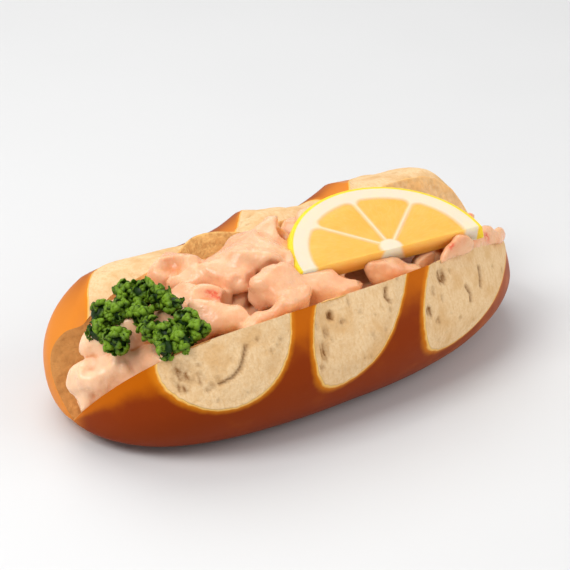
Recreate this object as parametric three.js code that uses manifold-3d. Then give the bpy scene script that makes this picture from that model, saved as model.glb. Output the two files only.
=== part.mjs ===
// A pretzel roll split along its top and filled with shrimp salad, with a half slice of lemon
// and a sprig of curly parsley lying on the filling.
// Millimetres. X runs along the roll, -Y is the opened front flap, +Z is up, z = 0 is the table.

import * as THREE from 'three';
import { mergeVertices } from 'three/addons/utils/BufferGeometryUtils.js';
import Module from 'manifold-3d';

// Clear space kept between pieces that touch, how sharp an edge may be before its mitre is cut short,
// and how near two corners are taken as one
const GAP = 0.45;
const SHARPEST_MITRE = 0.35;
const WELD_DISTANCE = 1e-4;

// Roll: each end closes at its tip, and the middle bows towards the front, less so low down at the back
const ROLL_LENGTH = 170;
const HALF_LENGTH = ROLL_LENGTH / 2;
const ROLL_BOW = { most: -8.3, least: -2.0 };
const BOW_CHANGE = { fromY: 25, toY: 45, fromZ: 40, toZ: 24 };
const TIPS = { left: { y: 4.0, z: 6.4 }, right: { y: 3.5, z: 10.0 } };

// Roll: a higher power keeps the section full for longer, so that end is blunter
const ACROSS_POWER = { front: { left: 5.1, right: 2.3 }, back: { left: 6.9, right: 7.6 } };
const UP_POWER = { front: { left: 4.8, right: 2.5 }, back: { left: 2.7, right: 8.6 } };
const FLAP_BLEND = 20;

// Roll: crust half way along, from the front cut edge under the base to the back cut edge, as y, z
const CRUST_OUTLINE = [
  [-28.9, 42.8],
  [-35.9, 21.6],
  [-26.9, 4.4],
  [-9.1, -0.6],
  [12.9, -0.6],
  [30.9, -0.6],
  [42.5, 7.4],
  [46.6, 22.4],
  [43.6, 39.4],
  [29.9, 46.3],
  [22.4, 45.0],
];
const SPLIT_ROOT = [6.9, 9.4];

// Roll: past TRIM_START the cut takes up to TRIM more of the back half's crust at the left end, and some
// more at the sunk band of crust, by drawing in the last TRIM_REACH of the outline
const TRIM = 23.7;
const TRIM_START = 71.3;
const TRIM_REACH = 44;
const BAND = { middle: -26, width: 10, trim: 7 };

// Roll: how finely it is divided
const ROLL_STATIONS = 44;
const CRUST_STEPS = 32;
const CUT_STEPS = 3;

// Score windows in the crust, where crumb shows: the middle and half width are along the cut edge,
// reach is down the crust, and slant moves the middle along the roll for each millimetre of reach
const FRONT_WINDOWS = [
  { middle: -53, half: 19, reach: 22, slant: -0.1 },
  { middle: -6.4, half: 16.8, reach: 26.5, slant: -0.51 },
  { middle: 49, half: 27, reach: 30, slant: -0.73 },
];
const WINDOW_LIP = 0.25;
const WINDOW_STEP = 1.8;

// The back half's windows make its crest a wave, as x and height, that starts past the cut edge
const CREST_WAVE = [
  [-85, 0],
  [-60, 2],
  [-27, -6],
  [-18, -5.6],
  [-9, -2.8],
  [-2, 0.4],
  [10, -1.5],
  [24, -6],
  [31, -3],
  [37, -0.5],
  [49, -2.2],
  [61, -2.2],
  [73, 1],
  [85, 0],
];
const CREST_START = -3;
const CREST_FULL = 9;
const CREST_END = 44;

// Shrimp salad: a smooth core up to this outline, as y, z half way along, with shrimps on it
const CORE_OUTLINE = [
  [-22.5, 36.5],
  [6.9, 9.4],
  [18.5, 35.5],
  [9.0, 36.0],
  [-3.0, 35.5],
  [-13.0, 36.0],
];
const CORE_MIDDLE = [1.0, 20.0];
const CORE_LEVEL = 34;
const CORE_REACH = 77;
const CORE_STATIONS = 20;
const CORE_END_POWER = 9;

// Shrimp salad: the size of detail left out after the pieces are joined, and after the cuts
const DETAIL_LEFT_OUT = 0.25;
const SCRAP_SIZE = 0.15;

// Shrimp salad: the heap rises to a mound under the lemon
const MOUND = { x: 17, y: -2, length: 26, width: 13, height: 8.5 };

// Shrimp salad: each shrimp is a tube round a bent path, blunter at its ends with a lower power
const SHRIMP_RINGS = 7;
const SHRIMP_SIDES = 7;
const SHRIMP_TAPER = 0.7;
const PATH_FRAMES = 30;

// Shrimp salad: the paths of the shrimps in front and those behind the lemon, as x, y, z, radius
const SHRIMPS = [
  [[-80.0, 2.5, 20.5, 4.2], [-78.5, -1.5, 18.5, 5.0], [-76.0, -6.5, 20.5, 5.8], [-72.5, -5.5, 23.0, 5.2]],
  [[-72.5, -5.5, 23.0, 5.2], [-74.0, -1.0, 26.0, 4.2]],
  [[-74.0, 8.0, 28.0, 5.0], [-72.5, 3.0, 28.0, 5.0]],
  [[-65.5, -10.0, 27.0, 4.2], [-64.5, -14.0, 30.0, 4.6], [-63.0, -17.0, 33.0, 4.2]],
  [[-67.0, -2.0, 31.0, 5.0], [-60.0, -8.0, 35.0, 5.0]],
  [[-64.0, 7.0, 34.0, 5.0], [-56.0, 8.0, 37.0, 5.0]],
  [[-57.0, -14.0, 35.5, 5.0], [-53.0, -7.0, 37.0, 5.0]],
  [[-47.0, 14.5, 38.5, 4.4], [-43.5, 15.5, 40.5, 4.4], [-39.5, 12.0, 41.0, 4.4]],
  [[-40.0, 8.5, 42.0, 4.0], [-43.5, 5.0, 40.0, 4.4]],
  [[-38.0, 6.0, 41.5, 4.8], [-39.5, 1.5, 40.0, 4.8]],
  [[-35.5, -2.0, 42.0, 4.6], [-36.5, -10.0, 42.0, 4.2]],
  [[-48.5, -5.5, 38.5, 5.0], [-46.5, -11.0, 41.0, 5.6], [-43.5, -15.5, 41.0, 4.6]],
  [[-50.0, -17.5, 38.5, 5.0], [-47.0, -20.0, 39.0, 4.6]],
  [[-30.0, 3.0, 41.5, 4.4], [-27.5, -3.5, 43.5, 5.0], [-24.0, -10.0, 43.0, 5.0]],
  [[-22.5, 2.0, 43.5, 4.4], [-19.5, -1.5, 45.0, 5.0], [-18.0, -7.5, 44.5, 4.8]],
  [[-17.0, -2.5, 44.5, 4.8], [-13.5, 0.0, 46.5, 4.6], [-10.0, 1.5, 49.0, 3.6]],
  [[-9.0, -1.5, 44.0, 4.6], [-13.5, -9.5, 42.0, 5.0], [-16.0, -14.5, 40.0, 4.6]],
  [[-32.5, -17.5, 41.0, 4.6], [-29.0, -21.0, 41.5, 5.0], [-23.0, -22.0, 41.0, 4.6]],
  [[-45.0, -26.5, 39.0, 3.0], [-41.0, -27.5, 39.5, 3.6], [-36.5, -27.0, 39.0, 3.0]],
  [[-16.0, -22.5, 40.0, 4.4], [-10.0, -24.5, 41.0, 5.0], [-2.5, -24.5, 40.5, 4.4]],
  [[7.5, -24.5, 39.5, 3.4], [11.5, -26.5, 40.5, 3.8], [17.0, -27.0, 40.0, 3.4]],
  [[23.0, -24.5, 38.0, 3.0], [29.0, -25.0, 38.0, 3.0]],
  [[43.5, -29.0, 39.5, 2.0], [54.0, -26.0, 37.5, 2.0], [67.5, -21.5, 34.0, 1.4]],
  [[29.0, -32.5, 41.5, 2.4], [32.5, -33.5, 43.5, 3.6], [35.0, -34.5, 45.0, 4.0], [37.5, -35.0, 43.5, 3.0]],
  [[67.0, -5.5, 37.5, 1.8], [63.5, -10.5, 36.5, 2.0], [61.0, -12.0, 33.0, 3.0]],
  [[48.0, -22.0, 35.5, 4.4], [57.0, -13.0, 32.0, 4.8]],
  [[62.0, -8.0, 29.0, 4.6], [69.0, -3.0, 24.0, 4.6], [74.0, 1.5, 18.0, 4.2]],
  [[4.0, 9.0, 40.0, 4.4], [12.0, 10.0, 40.5, 4.6]],
  [[19.0, 9.5, 41.0, 4.8], [27.0, 8.0, 40.5, 4.6]],
  [[33.0, 7.0, 39.0, 4.6], [40.0, 3.5, 37.0, 4.6]],
];

// Shrimp salad: rows of further shrimps over the rest of the heap, as y and z, clear of the ones above
const FILL_ROWS = [
  [-17, 41],
  [-5, 41],
  [8, 37],
];
const FILL_DROP = { most: 13, fromX: 28, toX: 54 };
const FILL_START = -62;
const FILL_END = 66;
const FILL_PITCH = 11;
const FILL_JITTER = 7;
const FILL_LENGTH = 9;
const FILL_LEAN = 5;
const FILL_RADIUS = { smallest: 4.0, largest: 5.2 };
const FILL_CLEARANCE = 7.5;
const FILL_SEED = 3;

// Lemon: a half slice, placed by the middle of its straight edge on the upper face
const LEMON_RADIUS = 32;
const LEMON_THICKNESS = 5.2;
const LEMON_BEVEL = 0.6;
const LEMON_STEPS = 28;
const LEMON_MIDDLE = new THREE.Vector3(13.2, -27.8, 47.1);
const LEMON_TURN = { tilt: 13.9, roll: 2.7, yaw: -12.3 };

// Parsley: florets in a horseshoe, as x, y, z, radius, each a small ball set with ruffled leaflets from
// its top down to LEAFLET_DROP radii lower, and joined by a stem to the nearest floret before it
const FLORETS = [
  [-72.3, 6.2, 37.5, 3.4],
  [-75.6, 2.2, 34.5, 3.2],
  [-75.3, -6.8, 35.0, 3.2],
  [-69.8, 0.6, 39.5, 3.4],
  [-63.8, 5.7, 41.5, 3.2],
  [-60.3, 1.2, 43.0, 3.4],
  [-58.4, -5.0, 43.5, 3.0],
  [-57.6, -11.1, 43.0, 2.4],
  [-66.3, -5.9, 40.5, 2.8],
  [-67.5, -13.6, 39.0, 2.8],
  [-65.6, -19.6, 39.0, 3.2],
  [-59.3, -19.2, 41.0, 3.0],
  [-58.8, -24.5, 40.5, 2.4],
  [-69.5, -23.6, 37.5, 2.6],
  [-64.6, -25.4, 38.5, 2.4],
];
const STEM_RADIUS = 1.1;
const STEM_SIDES = 5;
const LEAFLETS_PER_FLORET = 4;
const LEAFLET_LENGTH = 3.4;
const LEAFLET_THICKNESS = 1.2;
const LEAFLET_RIM = 6;
const LEAFLET_WAVE = 0.8;
const LEAFLET_SPREAD = { smallest: 0.7, largest: 1.2 };
const LEAFLET_DROP = 1.3;
const LEAFLET_TURN = 2.4;
const SPRIG_SEED = 12;

// A plain repeatable random series
const RANDOM_FACTOR = 1664525;
const RANDOM_STEP = 1013904223;
const RANDOM_RANGE = 2 ** 32;

const wasm = await Module();
wasm.setup();

const radians = THREE.MathUtils.degToRad;

// A closed surface through rings of points, shut by a point at each end
function loft(rings, startTip, endTip) {
  const sides = rings[0].length;
  const points = [startTip, ...rings.flat(), endTip];
  const last = points.length - 1;
  const index = [];
  const at = (ring, side) => 1 + ring * sides + (side % sides);
  for (let side = 0; side < sides; side += 1) {
    index.push(0, at(0, side + 1), at(0, side));
    index.push(last, at(rings.length - 1, side), at(rings.length - 1, side + 1));
    for (let ring = 0; ring < rings.length - 1; ring += 1) {
      index.push(at(ring, side), at(ring, side + 1), at(ring + 1, side));
      index.push(at(ring, side + 1), at(ring + 1, side + 1), at(ring + 1, side));
    }
  }
  const geometry = new THREE.BufferGeometry().setFromPoints(points);
  geometry.setIndex(index);
  return geometry;
}

// The unit normals of the faces round each corner of a surface
function faceNormals(geometry) {
  const position = geometry.attributes.position;
  const index = geometry.index.array;
  const normals = Array.from({ length: position.count }, () => []);
  const triangle = new THREE.Triangle();
  for (let i = 0; i < index.length; i += 3) {
    triangle.setFromAttributeAndIndices(position, index[i], index[i + 1], index[i + 2]);
    const normal = triangle.getNormal(new THREE.Vector3());
    for (let corner = 0; corner < 3; corner += 1) {
      normals[index[i + corner]].push(normal);
    }
  }
  return normals;
}

// The same surface moved out, further at sharp edges so that every face moves by the distance
function grown(geometry, distance) {
  const copy = geometry.clone();
  const position = copy.attributes.position;
  faceNormals(geometry).forEach((normals, i) => {
    const outward = normals.reduce((sum, normal) => sum.add(normal), new THREE.Vector3()).normalize();
    const sharpest = Math.min(...normals.map((normal) => normal.dot(outward)));
    const move = distance / Math.max(sharpest, SHARPEST_MITRE);
    const point = new THREE.Vector3().fromBufferAttribute(position, i).addScaledVector(outward, move);
    position.setXYZ(i, point.x, point.y, point.z);
  });
  return copy;
}

// A three.js geometry whose triangles share their corners
function welded(geometry) {
  geometry.deleteAttribute('normal');
  geometry.deleteAttribute('uv');
  return mergeVertices(geometry, WELD_DISTANCE);
}

function solid(geometry) {
  const vertProperties = new Float32Array(geometry.attributes.position.array);
  const triVerts = new Uint32Array(geometry.index.array);
  return new wasm.Manifold(new wasm.Mesh({ numProp: 3, vertProperties, triVerts }));
}

function joined(geometries) {
  return geometries.map(solid).reduce((whole, next) => whole.add(next));
}

// The largest body of a solid, as a geometry
function largestBody(whole) {
  const bodies = whole.decompose();
  bodies.sort((a, b) => b.volume() - a.volume());
  const mesh = bodies[0].getMesh();
  const geometry = new THREE.BufferGeometry();
  geometry.setAttribute('position', new THREE.BufferAttribute(mesh.vertProperties, 3));
  geometry.setIndex(new THREE.BufferAttribute(mesh.triVerts, 1));
  return geometry;
}

// Random numbers from 0 to 1 that are the same on every run
function seededRandom(seed) {
  let state = seed;
  return () => {
    state = (state * RANDOM_FACTOR + RANDOM_STEP) % RANDOM_RANGE;
    return state / RANDOM_RANGE;
  };
}

// How full the section is at x, from 1 half way along to 0 at the tips
function fullness(x, y, power) {
  const end = x < 0 ? 'left' : 'right';
  const back = THREE.MathUtils.smoothstep(y, -FLAP_BLEND, FLAP_BLEND);
  const blended = THREE.MathUtils.lerp(power.front[end], power.back[end], back);
  return Math.sqrt(Math.max(0, 1 - Math.abs(x / HALF_LENGTH) ** blended));
}

// A point of the half-way section, carried to its place at x
function alongRoll(x, y, z) {
  const back = THREE.MathUtils.smoothstep(y, BOW_CHANGE.fromY, BOW_CHANGE.toY);
  const low = 1 - THREE.MathUtils.smoothstep(z, BOW_CHANGE.toZ, BOW_CHANGE.fromZ);
  const bow = THREE.MathUtils.lerp(ROLL_BOW.most, ROLL_BOW.least, back * low) * (1 - (x / HALF_LENGTH) ** 2);
  const tip = TIPS[x < 0 ? 'left' : 'right'];
  const placedY = tip.y + fullness(x, y, ACROSS_POWER) * (y - tip.y) + bow;
  const placedZ = tip.z + fullness(x, y, UP_POWER) * (z - tip.z);
  return new THREE.Vector3(x, placedY, Math.max(0, placedZ));
}

// How far the front windows' crumb stands out of the crust: low at the left, high at the right
function windowRelief(x, reach) {
  let relief = 0;
  for (const opening of FRONT_WINDOWS) {
    const side = (x - opening.middle - opening.slant * reach) / opening.half;
    const inside = 1 - Math.hypot(side, reach / opening.reach);
    relief += THREE.MathUtils.clamp(inside / WINDOW_LIP, 0, 1) * WINDOW_STEP * side;
  }
  return relief;
}

// How far the back half's crest rises or sinks, a given distance past its cut edge
function crestRelief(x, reach) {
  const next = CREST_WAVE.findIndex(([end]) => end >= x);
  const [fromX, fromHeight] = CREST_WAVE[next - 1];
  const [toX, toHeight] = CREST_WAVE[next];
  const height = THREE.MathUtils.mapLinear(x, fromX, toX, fromHeight, toHeight);
  const rise = THREE.MathUtils.smoothstep(reach, CREST_START, CREST_FULL);
  const fall = THREE.MathUtils.smoothstep(reach, CREST_FULL, CREST_END);
  return height * (rise - fall);
}

// The section at x as a ring: the crust with its relief, then both cut faces
function rollRing(x, outline) {
  const length = outline.getLength();
  const end = TRIM * THREE.MathUtils.smoothstep(-x, TRIM_START, HALF_LENGTH);
  const trim = end + BAND.trim * Math.exp(-(((x - BAND.middle) / BAND.width) ** 2));
  const reaches = Array.from({ length: CRUST_STEPS + 1 }, (_, i) => {
    const even = (length * i) / CRUST_STEPS;
    return even - (trim * Math.max(0, even - length + TRIM_REACH)) / TRIM_REACH;
  });
  const ring = reaches.map((reach) => {
    const point = outline.getPointAt(reach / length);
    const along = outline.getTangentAt(reach / length);
    const relief = windowRelief(x, reach) + crestRelief(x, length - reach);
    return alongRoll(x, point.x + along.y * relief, point.y - along.x * relief);
  });
  const root = new THREE.Vector2(...SPLIT_ROOT);
  const backEdge = outline.getPointAt(reaches[CRUST_STEPS] / length);
  for (const [from, to] of [[backEdge, root], [root, outline.getPointAt(0)]]) {
    const first = from === root ? 0 : 1;
    for (let i = first; i < CUT_STEPS; i += 1) {
      const point = from.clone().lerp(to, i / CUT_STEPS);
      ring.push(alongRoll(x, point.x, point.y));
    }
  }
  return ring;
}

function rollGeometry() {
  const outline = new THREE.SplineCurve(CRUST_OUTLINE.map(([y, z]) => new THREE.Vector2(y, z)));
  const rings = [];
  for (let i = 1; i < ROLL_STATIONS; i += 1) {
    rings.push(rollRing(-HALF_LENGTH * Math.cos((Math.PI * i) / ROLL_STATIONS), outline));
  }
  return loft(rings, alongRoll(-HALF_LENGTH, 0, 0), alongRoll(HALF_LENGTH, 0, 0));
}

// A point of the heap: carried to its place at x, and lifted by the mound if it is on the upper side
function alongHeap(x, y, z) {
  const point = alongRoll(x, y, z);
  const away = Math.hypot((point.x - MOUND.x) / MOUND.length, (point.y - MOUND.y) / MOUND.width);
  point.z += z < CORE_LEVEL ? 0 : MOUND.height * Math.exp(-away * away);
  return point;
}

function coreGeometry() {
  const rings = [];
  for (let i = 1; i < CORE_STATIONS; i += 1) {
    const share = Math.cos((Math.PI * i) / CORE_STATIONS);
    const x = -CORE_REACH * share;
    const middle = alongRoll(x, ...CORE_MIDDLE);
    const size = Math.sqrt(1 - Math.abs(share) ** CORE_END_POWER);
    rings.push(CORE_OUTLINE.map(([y, z]) => middle.clone().lerp(alongHeap(x, y, z), size)));
  }
  const tip = (x) => alongRoll(x, ...CORE_MIDDLE);
  return loft(rings, tip(-CORE_REACH), tip(CORE_REACH));
}

// Shrimps in rows over the heap, each a little off its place, leaving out those too near a shown one
function fillShrimps() {
  const random = seededRandom(FILL_SEED);
  const off = () => FILL_JITTER * (random() - 0.5);
  const fill = [];
  for (const [row, level] of FILL_ROWS) {
    for (let x = FILL_START; x < FILL_END; x += FILL_PITCH) {
      const drop = FILL_DROP.most * THREE.MathUtils.smoothstep(x, FILL_DROP.fromX, FILL_DROP.toX);
      const middle = alongHeap(x + off(), row + off(), level - drop);
      const turn = 2 * Math.PI * random();
      const lean = FILL_LEAN * (random() - 0.5);
      const radius = THREE.MathUtils.lerp(FILL_RADIUS.smallest, FILL_RADIUS.largest, random());
      const half = new THREE.Vector3(Math.cos(turn), Math.sin(turn), 0).multiplyScalar(FILL_LENGTH / 2);
      half.z = lean;
      const near = ([px, py, pz]) => middle.distanceTo(new THREE.Vector3(px, py, pz)) < FILL_CLEARANCE;
      if (!SHRIMPS.flat().some(near)) {
        const ends = [middle.clone().sub(half), middle.clone().add(half)];
        fill.push(ends.map((end) => [end.x, end.y, end.z, radius]));
      }
    }
  }
  return fill;
}

// The radius along a path, at a share of the way from its first point to its last
function pathRadius(path, share) {
  const place = share * (path.length - 1);
  const before = Math.min(Math.floor(place), path.length - 2);
  return THREE.MathUtils.lerp(path[before][3], path[before + 1][3], place - before);
}

// A tube round a path, run on past each end by the radius there and rounded off
function shrimpGeometry(path) {
  const middles = path.map(([x, y, z]) => new THREE.Vector3(x, y, z));
  const past = (end, inner, radius) => end.clone().sub(inner).setLength(radius).add(end);
  const start = past(middles[0], middles[1], path[0][3]);
  const end = past(middles.at(-1), middles.at(-2), path.at(-1)[3]);
  const curve = new THREE.CatmullRomCurve3([start, ...middles, end]);
  const frames = curve.computeFrenetFrames(PATH_FRAMES);
  const rings = [];
  for (let i = 1; i < SHRIMP_RINGS; i += 1) {
    const turn = (Math.PI * i) / SHRIMP_RINGS;
    const share = (1 - Math.cos(turn)) / 2;
    const radius = pathRadius(path, share) * Math.sin(turn) ** SHRIMP_TAPER;
    const frame = Math.round(share * PATH_FRAMES);
    rings.push(circle(curve.getPointAt(share), frames, frame, radius, SHRIMP_SIDES));
  }
  return loft(rings, start, end);
}

// Points round a curve's frame, counterclockwise as seen from further along the curve
function circle(middle, frames, i, radius, sides) {
  return Array.from({ length: sides }, (_, side) => {
    const turn = (2 * Math.PI * side) / sides;
    const point = middle.clone().addScaledVector(frames.normals[i], radius * Math.cos(turn));
    return point.addScaledVector(frames.binormals[i], radius * Math.sin(turn));
  });
}

// Half a disc that lies under z = 0, its straight edge along X
function lemonGeometry() {
  const outline = new THREE.Shape();
  outline.absarc(0, 0, LEMON_RADIUS - LEMON_BEVEL, 0, Math.PI, false);
  outline.closePath();
  const depth = LEMON_THICKNESS - 2 * LEMON_BEVEL;
  const geometry = new THREE.ExtrudeGeometry(outline, {
    depth,
    curveSegments: LEMON_STEPS,
    bevelThickness: LEMON_BEVEL,
    bevelSize: LEMON_BEVEL,
    bevelSegments: 1,
  });
  geometry.translate(0, 0, LEMON_BEVEL - LEMON_THICKNESS);
  return welded(geometry);
}

// A ruffled leaflet: a flat bipyramid whose rim waves up and down
function leafletGeometry(length) {
  const top = new THREE.Vector3(0, 0, LEAFLET_THICKNESS / 2);
  const bottom = new THREE.Vector3(0, 0, -LEAFLET_THICKNESS / 2);
  const rim = [];
  for (let i = 0; i < LEAFLET_RIM; i += 1) {
    const turn = (2 * Math.PI * i) / LEAFLET_RIM;
    const wave = i % 2 === 0 ? LEAFLET_WAVE : -LEAFLET_WAVE;
    rim.push(new THREE.Vector3(length * Math.cos(turn), length * Math.sin(turn), wave));
  }
  return loft([rim], bottom, top);
}

// A straight stem from one floret's middle to another's
function stemGeometry(from, to) {
  const line = new THREE.LineCurve3(from, to);
  const frames = line.computeFrenetFrames(1);
  const rings = [from, to].map((end, i) => circle(end, frames, i, STEM_RADIUS, STEM_SIDES));
  return loft(rings, from, to);
}

// A ruffled leaflet on its seat, turned to face out but for a little
function placedLeaflet(middle, out, radius, random) {
  const { smallest, largest } = LEAFLET_SPREAD;
  const leaflet = leafletGeometry(LEAFLET_LENGTH * THREE.MathUtils.lerp(smallest, largest, random()));
  const facing = new THREE.Vector3(random() - 0.5, random() - 0.5, random() - 0.5).add(out);
  const tilt = new THREE.Quaternion();
  tilt.setFromUnitVectors(new THREE.Vector3(0, 0, 1), facing.normalize());
  leaflet.applyQuaternion(tilt);
  const seat = middle.clone().addScaledVector(out, radius);
  return leaflet.translate(seat.x, seat.y, seat.z);
}

function sprigGeometries() {
  const random = seededRandom(SPRIG_SEED);
  const pieces = [];
  const middles = [];
  for (const [x, y, z, radius] of FLORETS) {
    const middle = new THREE.Vector3(x, y, z);
    pieces.push(welded(new THREE.IcosahedronGeometry(radius, 0)).translate(x, y, z));
    if (middles.length > 0) {
      const nearest = middles.reduce((a, b) => (a.distanceTo(middle) <= b.distanceTo(middle) ? a : b));
      pieces.push(stemGeometry(nearest, middle));
    }
    middles.push(middle);
    for (let leaf = 0; leaf < LEAFLETS_PER_FLORET; leaf += 1) {
      const height = 1 - (LEAFLET_DROP * (leaf + 0.5)) / LEAFLETS_PER_FLORET;
      const turn = LEAFLET_TURN * leaf + 2 * Math.PI * random();
      const flat = Math.sqrt(1 - height * height);
      const out = new THREE.Vector3(flat * Math.cos(turn), flat * Math.sin(turn), height);
      pieces.push(placedLeaflet(middle, out, radius, random));
    }
  }
  return pieces;
}

function piece(name, geometry, color, roughness) {
  const material = new THREE.MeshStandardMaterial({ color, roughness, metalness: 0 });
  const mesh = new THREE.Mesh(geometry, material);
  mesh.name = name;
  return mesh;
}

const roll = piece('roll', rollGeometry(), 0xa35a1e, 0.4);

const lemon = piece('lemon_slice', lemonGeometry(), 0xf7c866, 0.35);
lemon.position.copy(LEMON_MIDDLE);
lemon.rotation.set(radians(LEMON_TURN.tilt), -radians(LEMON_TURN.roll), radians(LEMON_TURN.yaw), 'ZYX');
lemon.updateMatrix();

const rollRoom = solid(grown(roll.geometry, GAP));
const lemonRoom = solid(grown(lemon.geometry, GAP).applyMatrix4(lemon.matrix));

const saladPieces = [coreGeometry(), ...[...SHRIMPS, ...fillShrimps()].map(shrimpGeometry)];
const saladBody = joined(saladPieces).simplify(DETAIL_LEFT_OUT).subtract(rollRoom).subtract(lemonRoom);
const salad = piece('shrimp_salad', largestBody(saladBody.simplify(SCRAP_SIZE)), 0xf3bb90, 0.3);

const saladRoom = joined(saladPieces.map((geometry) => grown(geometry, GAP)));
const sprigBody = joined(sprigGeometries()).subtract(saladRoom).subtract(rollRoom);
const parsley = piece('parsley', largestBody(sprigBody), 0x3a5a12, 0.55);

const sandwich = new THREE.Group();
sandwich.add(roll, salad, lemon, parsley);

export default sandwich;
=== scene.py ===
"""Looks of a shrimp pretzel sandwich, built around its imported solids.

Shapes are worked out in millimetres in the solids' own frame: X along the roll, -Y towards the opened
front flap, +Z up. Each becomes a mesh in metres. Named values come first, then the settings that a
user would change, the materials, and each piece with its operator.
"""

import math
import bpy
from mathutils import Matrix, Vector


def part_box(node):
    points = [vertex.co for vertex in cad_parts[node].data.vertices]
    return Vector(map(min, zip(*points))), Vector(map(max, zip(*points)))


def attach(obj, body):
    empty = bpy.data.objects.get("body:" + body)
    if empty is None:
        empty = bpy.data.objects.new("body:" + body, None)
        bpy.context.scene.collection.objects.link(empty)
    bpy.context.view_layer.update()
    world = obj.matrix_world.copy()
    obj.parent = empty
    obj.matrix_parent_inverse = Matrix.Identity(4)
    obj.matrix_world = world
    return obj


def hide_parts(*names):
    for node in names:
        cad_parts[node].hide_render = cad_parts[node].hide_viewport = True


bl_info = {
    "name": "Shrimp Pretzel Sandwich",
    "version": (1, 0, 0),
    "blender": (4, 5, 0),
    "location": "3D View > Sidebar > Sandwich",
    "description": "Crust, crumb, shrimps in sauce, lemon and parsley around the packed solids",
    "category": "Add Mesh",
}

import bmesh
import bpy
import numpy as np
import openvdb
from bpy.props import FloatProperty, FloatVectorProperty, IntProperty, PointerProperty
from mathutils import Matrix, Vector, noise

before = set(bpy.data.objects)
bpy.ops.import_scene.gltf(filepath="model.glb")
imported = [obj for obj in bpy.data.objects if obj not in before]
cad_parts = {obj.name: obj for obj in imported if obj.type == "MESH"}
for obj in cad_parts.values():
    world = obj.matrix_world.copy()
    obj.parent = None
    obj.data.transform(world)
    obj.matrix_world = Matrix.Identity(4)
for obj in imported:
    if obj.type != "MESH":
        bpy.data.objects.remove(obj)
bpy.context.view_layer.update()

MM = 0.001
BODY = "root"

# Roll: each end closes at its tip, as y, z, and the middle bows to the front, less so low at the back,
# over spans of y and z
HALF_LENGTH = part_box("roll")[1].x / MM
LEFT_TIP = (4.0, 6.4)
RIGHT_TIP = (3.5, 10.0)
BOW_MOST = -8.3
BOW_LEAST = -2.0
BOW_BACK = (25, 45)
BOW_LOW = (24, 40)

# Roll: a higher power keeps the section full for longer, towards the left end and the right end; the
# front's powers blend into the back's over this much of y either way
ACROSS_POWER = {"front": (5.1, 2.3), "back": (6.9, 7.6)}
UP_POWER = {"front": (4.8, 2.5), "back": (2.7, 8.6)}
FLAP_BLEND = 20

# Roll: crust half way along, from the front cut edge under the base to the back cut edge, as y, z
CRUST_OUTLINE = (
    (-28.9, 42.8),
    (-35.9, 21.6),
    (-26.9, 4.4),
    (-9.1, -0.6),
    (12.9, -0.6),
    (30.9, -0.6),
    (42.5, 7.4),
    (46.6, 22.4),
    (43.6, 39.4),
    (29.9, 46.3),
    (22.4, 45.0),
)
SPLINE_STEPS = 2000

# Roll: where the cut's two faces meet, as y, z
SPLIT_ROOT = (6.9, 9.4)

# Roll: the cut takes this much more of the back half's crust at the left end, from LEFT_TRIM_START on
LEFT_TRIM = 23.7
LEFT_TRIM_START = 71.3

# Roll: and this much more of it at the sunk band of crust, where that band is and how wide
BAND_TRIM = 7
BAND_MIDDLE = -26
BAND_WIDTH = 10

# Roll: how finely it is divided, along it, closer at its ends, round it, finer near the cut edges, and
# down the cut faces
STATION_STEP = 0.66
END_START = 70
END_STATIONS = 38
FINE_STEP = 0.66
COARSE_STEP = 2.4
FINE_REACH = 44
CUT_STEP = 0.8

# Scores where crumb shows, as windows in the crust: middle and half width along the cut edge, reach
# down the crust, and how far the middle moves along the roll for each millimetre of reach
FRONT_WINDOWS = (
    (-53.0, 19.4, 23.3, -0.13),
    (-6.6, 17.4, 26.8, -0.51),
    (49.0, 27.6, 30.0, -0.73),
)
BACK_WINDOWS = (
    (-48.0, 22.0, 24.0, 0.5),
    (4.5, 19.5, 24.0, 0.5),
    (55.5, 22.5, 24.0, 0.5),
)

# Scores: the step across one eases in over this share of its size
WINDOW_EASE = 0.25

# The back half's crest is a wave, as x and height, that fades in past the cut edge and out again
CREST_WAVE = (
    (-85, 0),
    (-60, 2),
    (-27, -6),
    (-18, -5.6),
    (-9, -2.8),
    (-2, 0.4),
    (10, -1.5),
    (24, -6),
    (31, -3),
    (37, -0.5),
    (49, -2.2),
    (61, -2.2),
    (73, 1),
    (85, 0),
)
CREST_START = -3
CREST_FULL = 9
CREST_END = 44

# Torn hollows in the front windows: x, reach, radius, stretch down the crust, depth
WINDOW_TEARS = (
    (-67.0, 7.5, 3.6, 1.7, 1.0),
    (-68.0, 12.5, 2.2, 1.3, 0.9),
    (-63.5, 11.0, 1.8, 2.0, 0.6),
    (-61.0, 15.0, 1.5, 1.6, 0.5),
    (-45.5, 4.8, 1.2, 1.2, 0.6),
    (-64.5, 18.1, 0.6, 1.0, 0.5),
    (-19.6, 4.8, 1.7, 1.2, 1.5),
    (-16.2, 7.6, 1.5, 0.9, 0.7),
    (-24.5, 14.6, 2.2, 1.9, 0.9),
    (-26.6, 19.3, 1.6, 1.2, 0.8),
    (-22.5, 9.5, 1.6, 1.8, 0.6),
    (26.5, 5.2, 3.2, 1.1, 1.1),
    (21.0, 8.5, 1.5, 1.6, 0.9),
    (17.4, 14.2, 1.7, 1.8, 0.9),
    (20.5, 18.5, 1.4, 1.4, 0.6),
)

# Slits torn in the front windows' crumb, as lines of x, reach
WINDOW_SLITS = (
    ((-49.2, 5.6), (-51.0, 9.2), (-52.6, 11.8), (-55.0, 13.7), (-58.6, 14.6)),
    ((1.6, 2.2), (0.8, 4.6), (1.8, 6.4)),
    ((45.5, 7.0), (45.2, 10.5), (44.0, 14.0)),
    ((36.5, 11.5), (38.0, 14.5), (37.4, 17.0)),
)
SLIT_WIDTH = 0.6
SLIT_DEPTH = 1.1

# Further than any place on the crust is from a score or a slit
FAR_AWAY = 99.0

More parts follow.
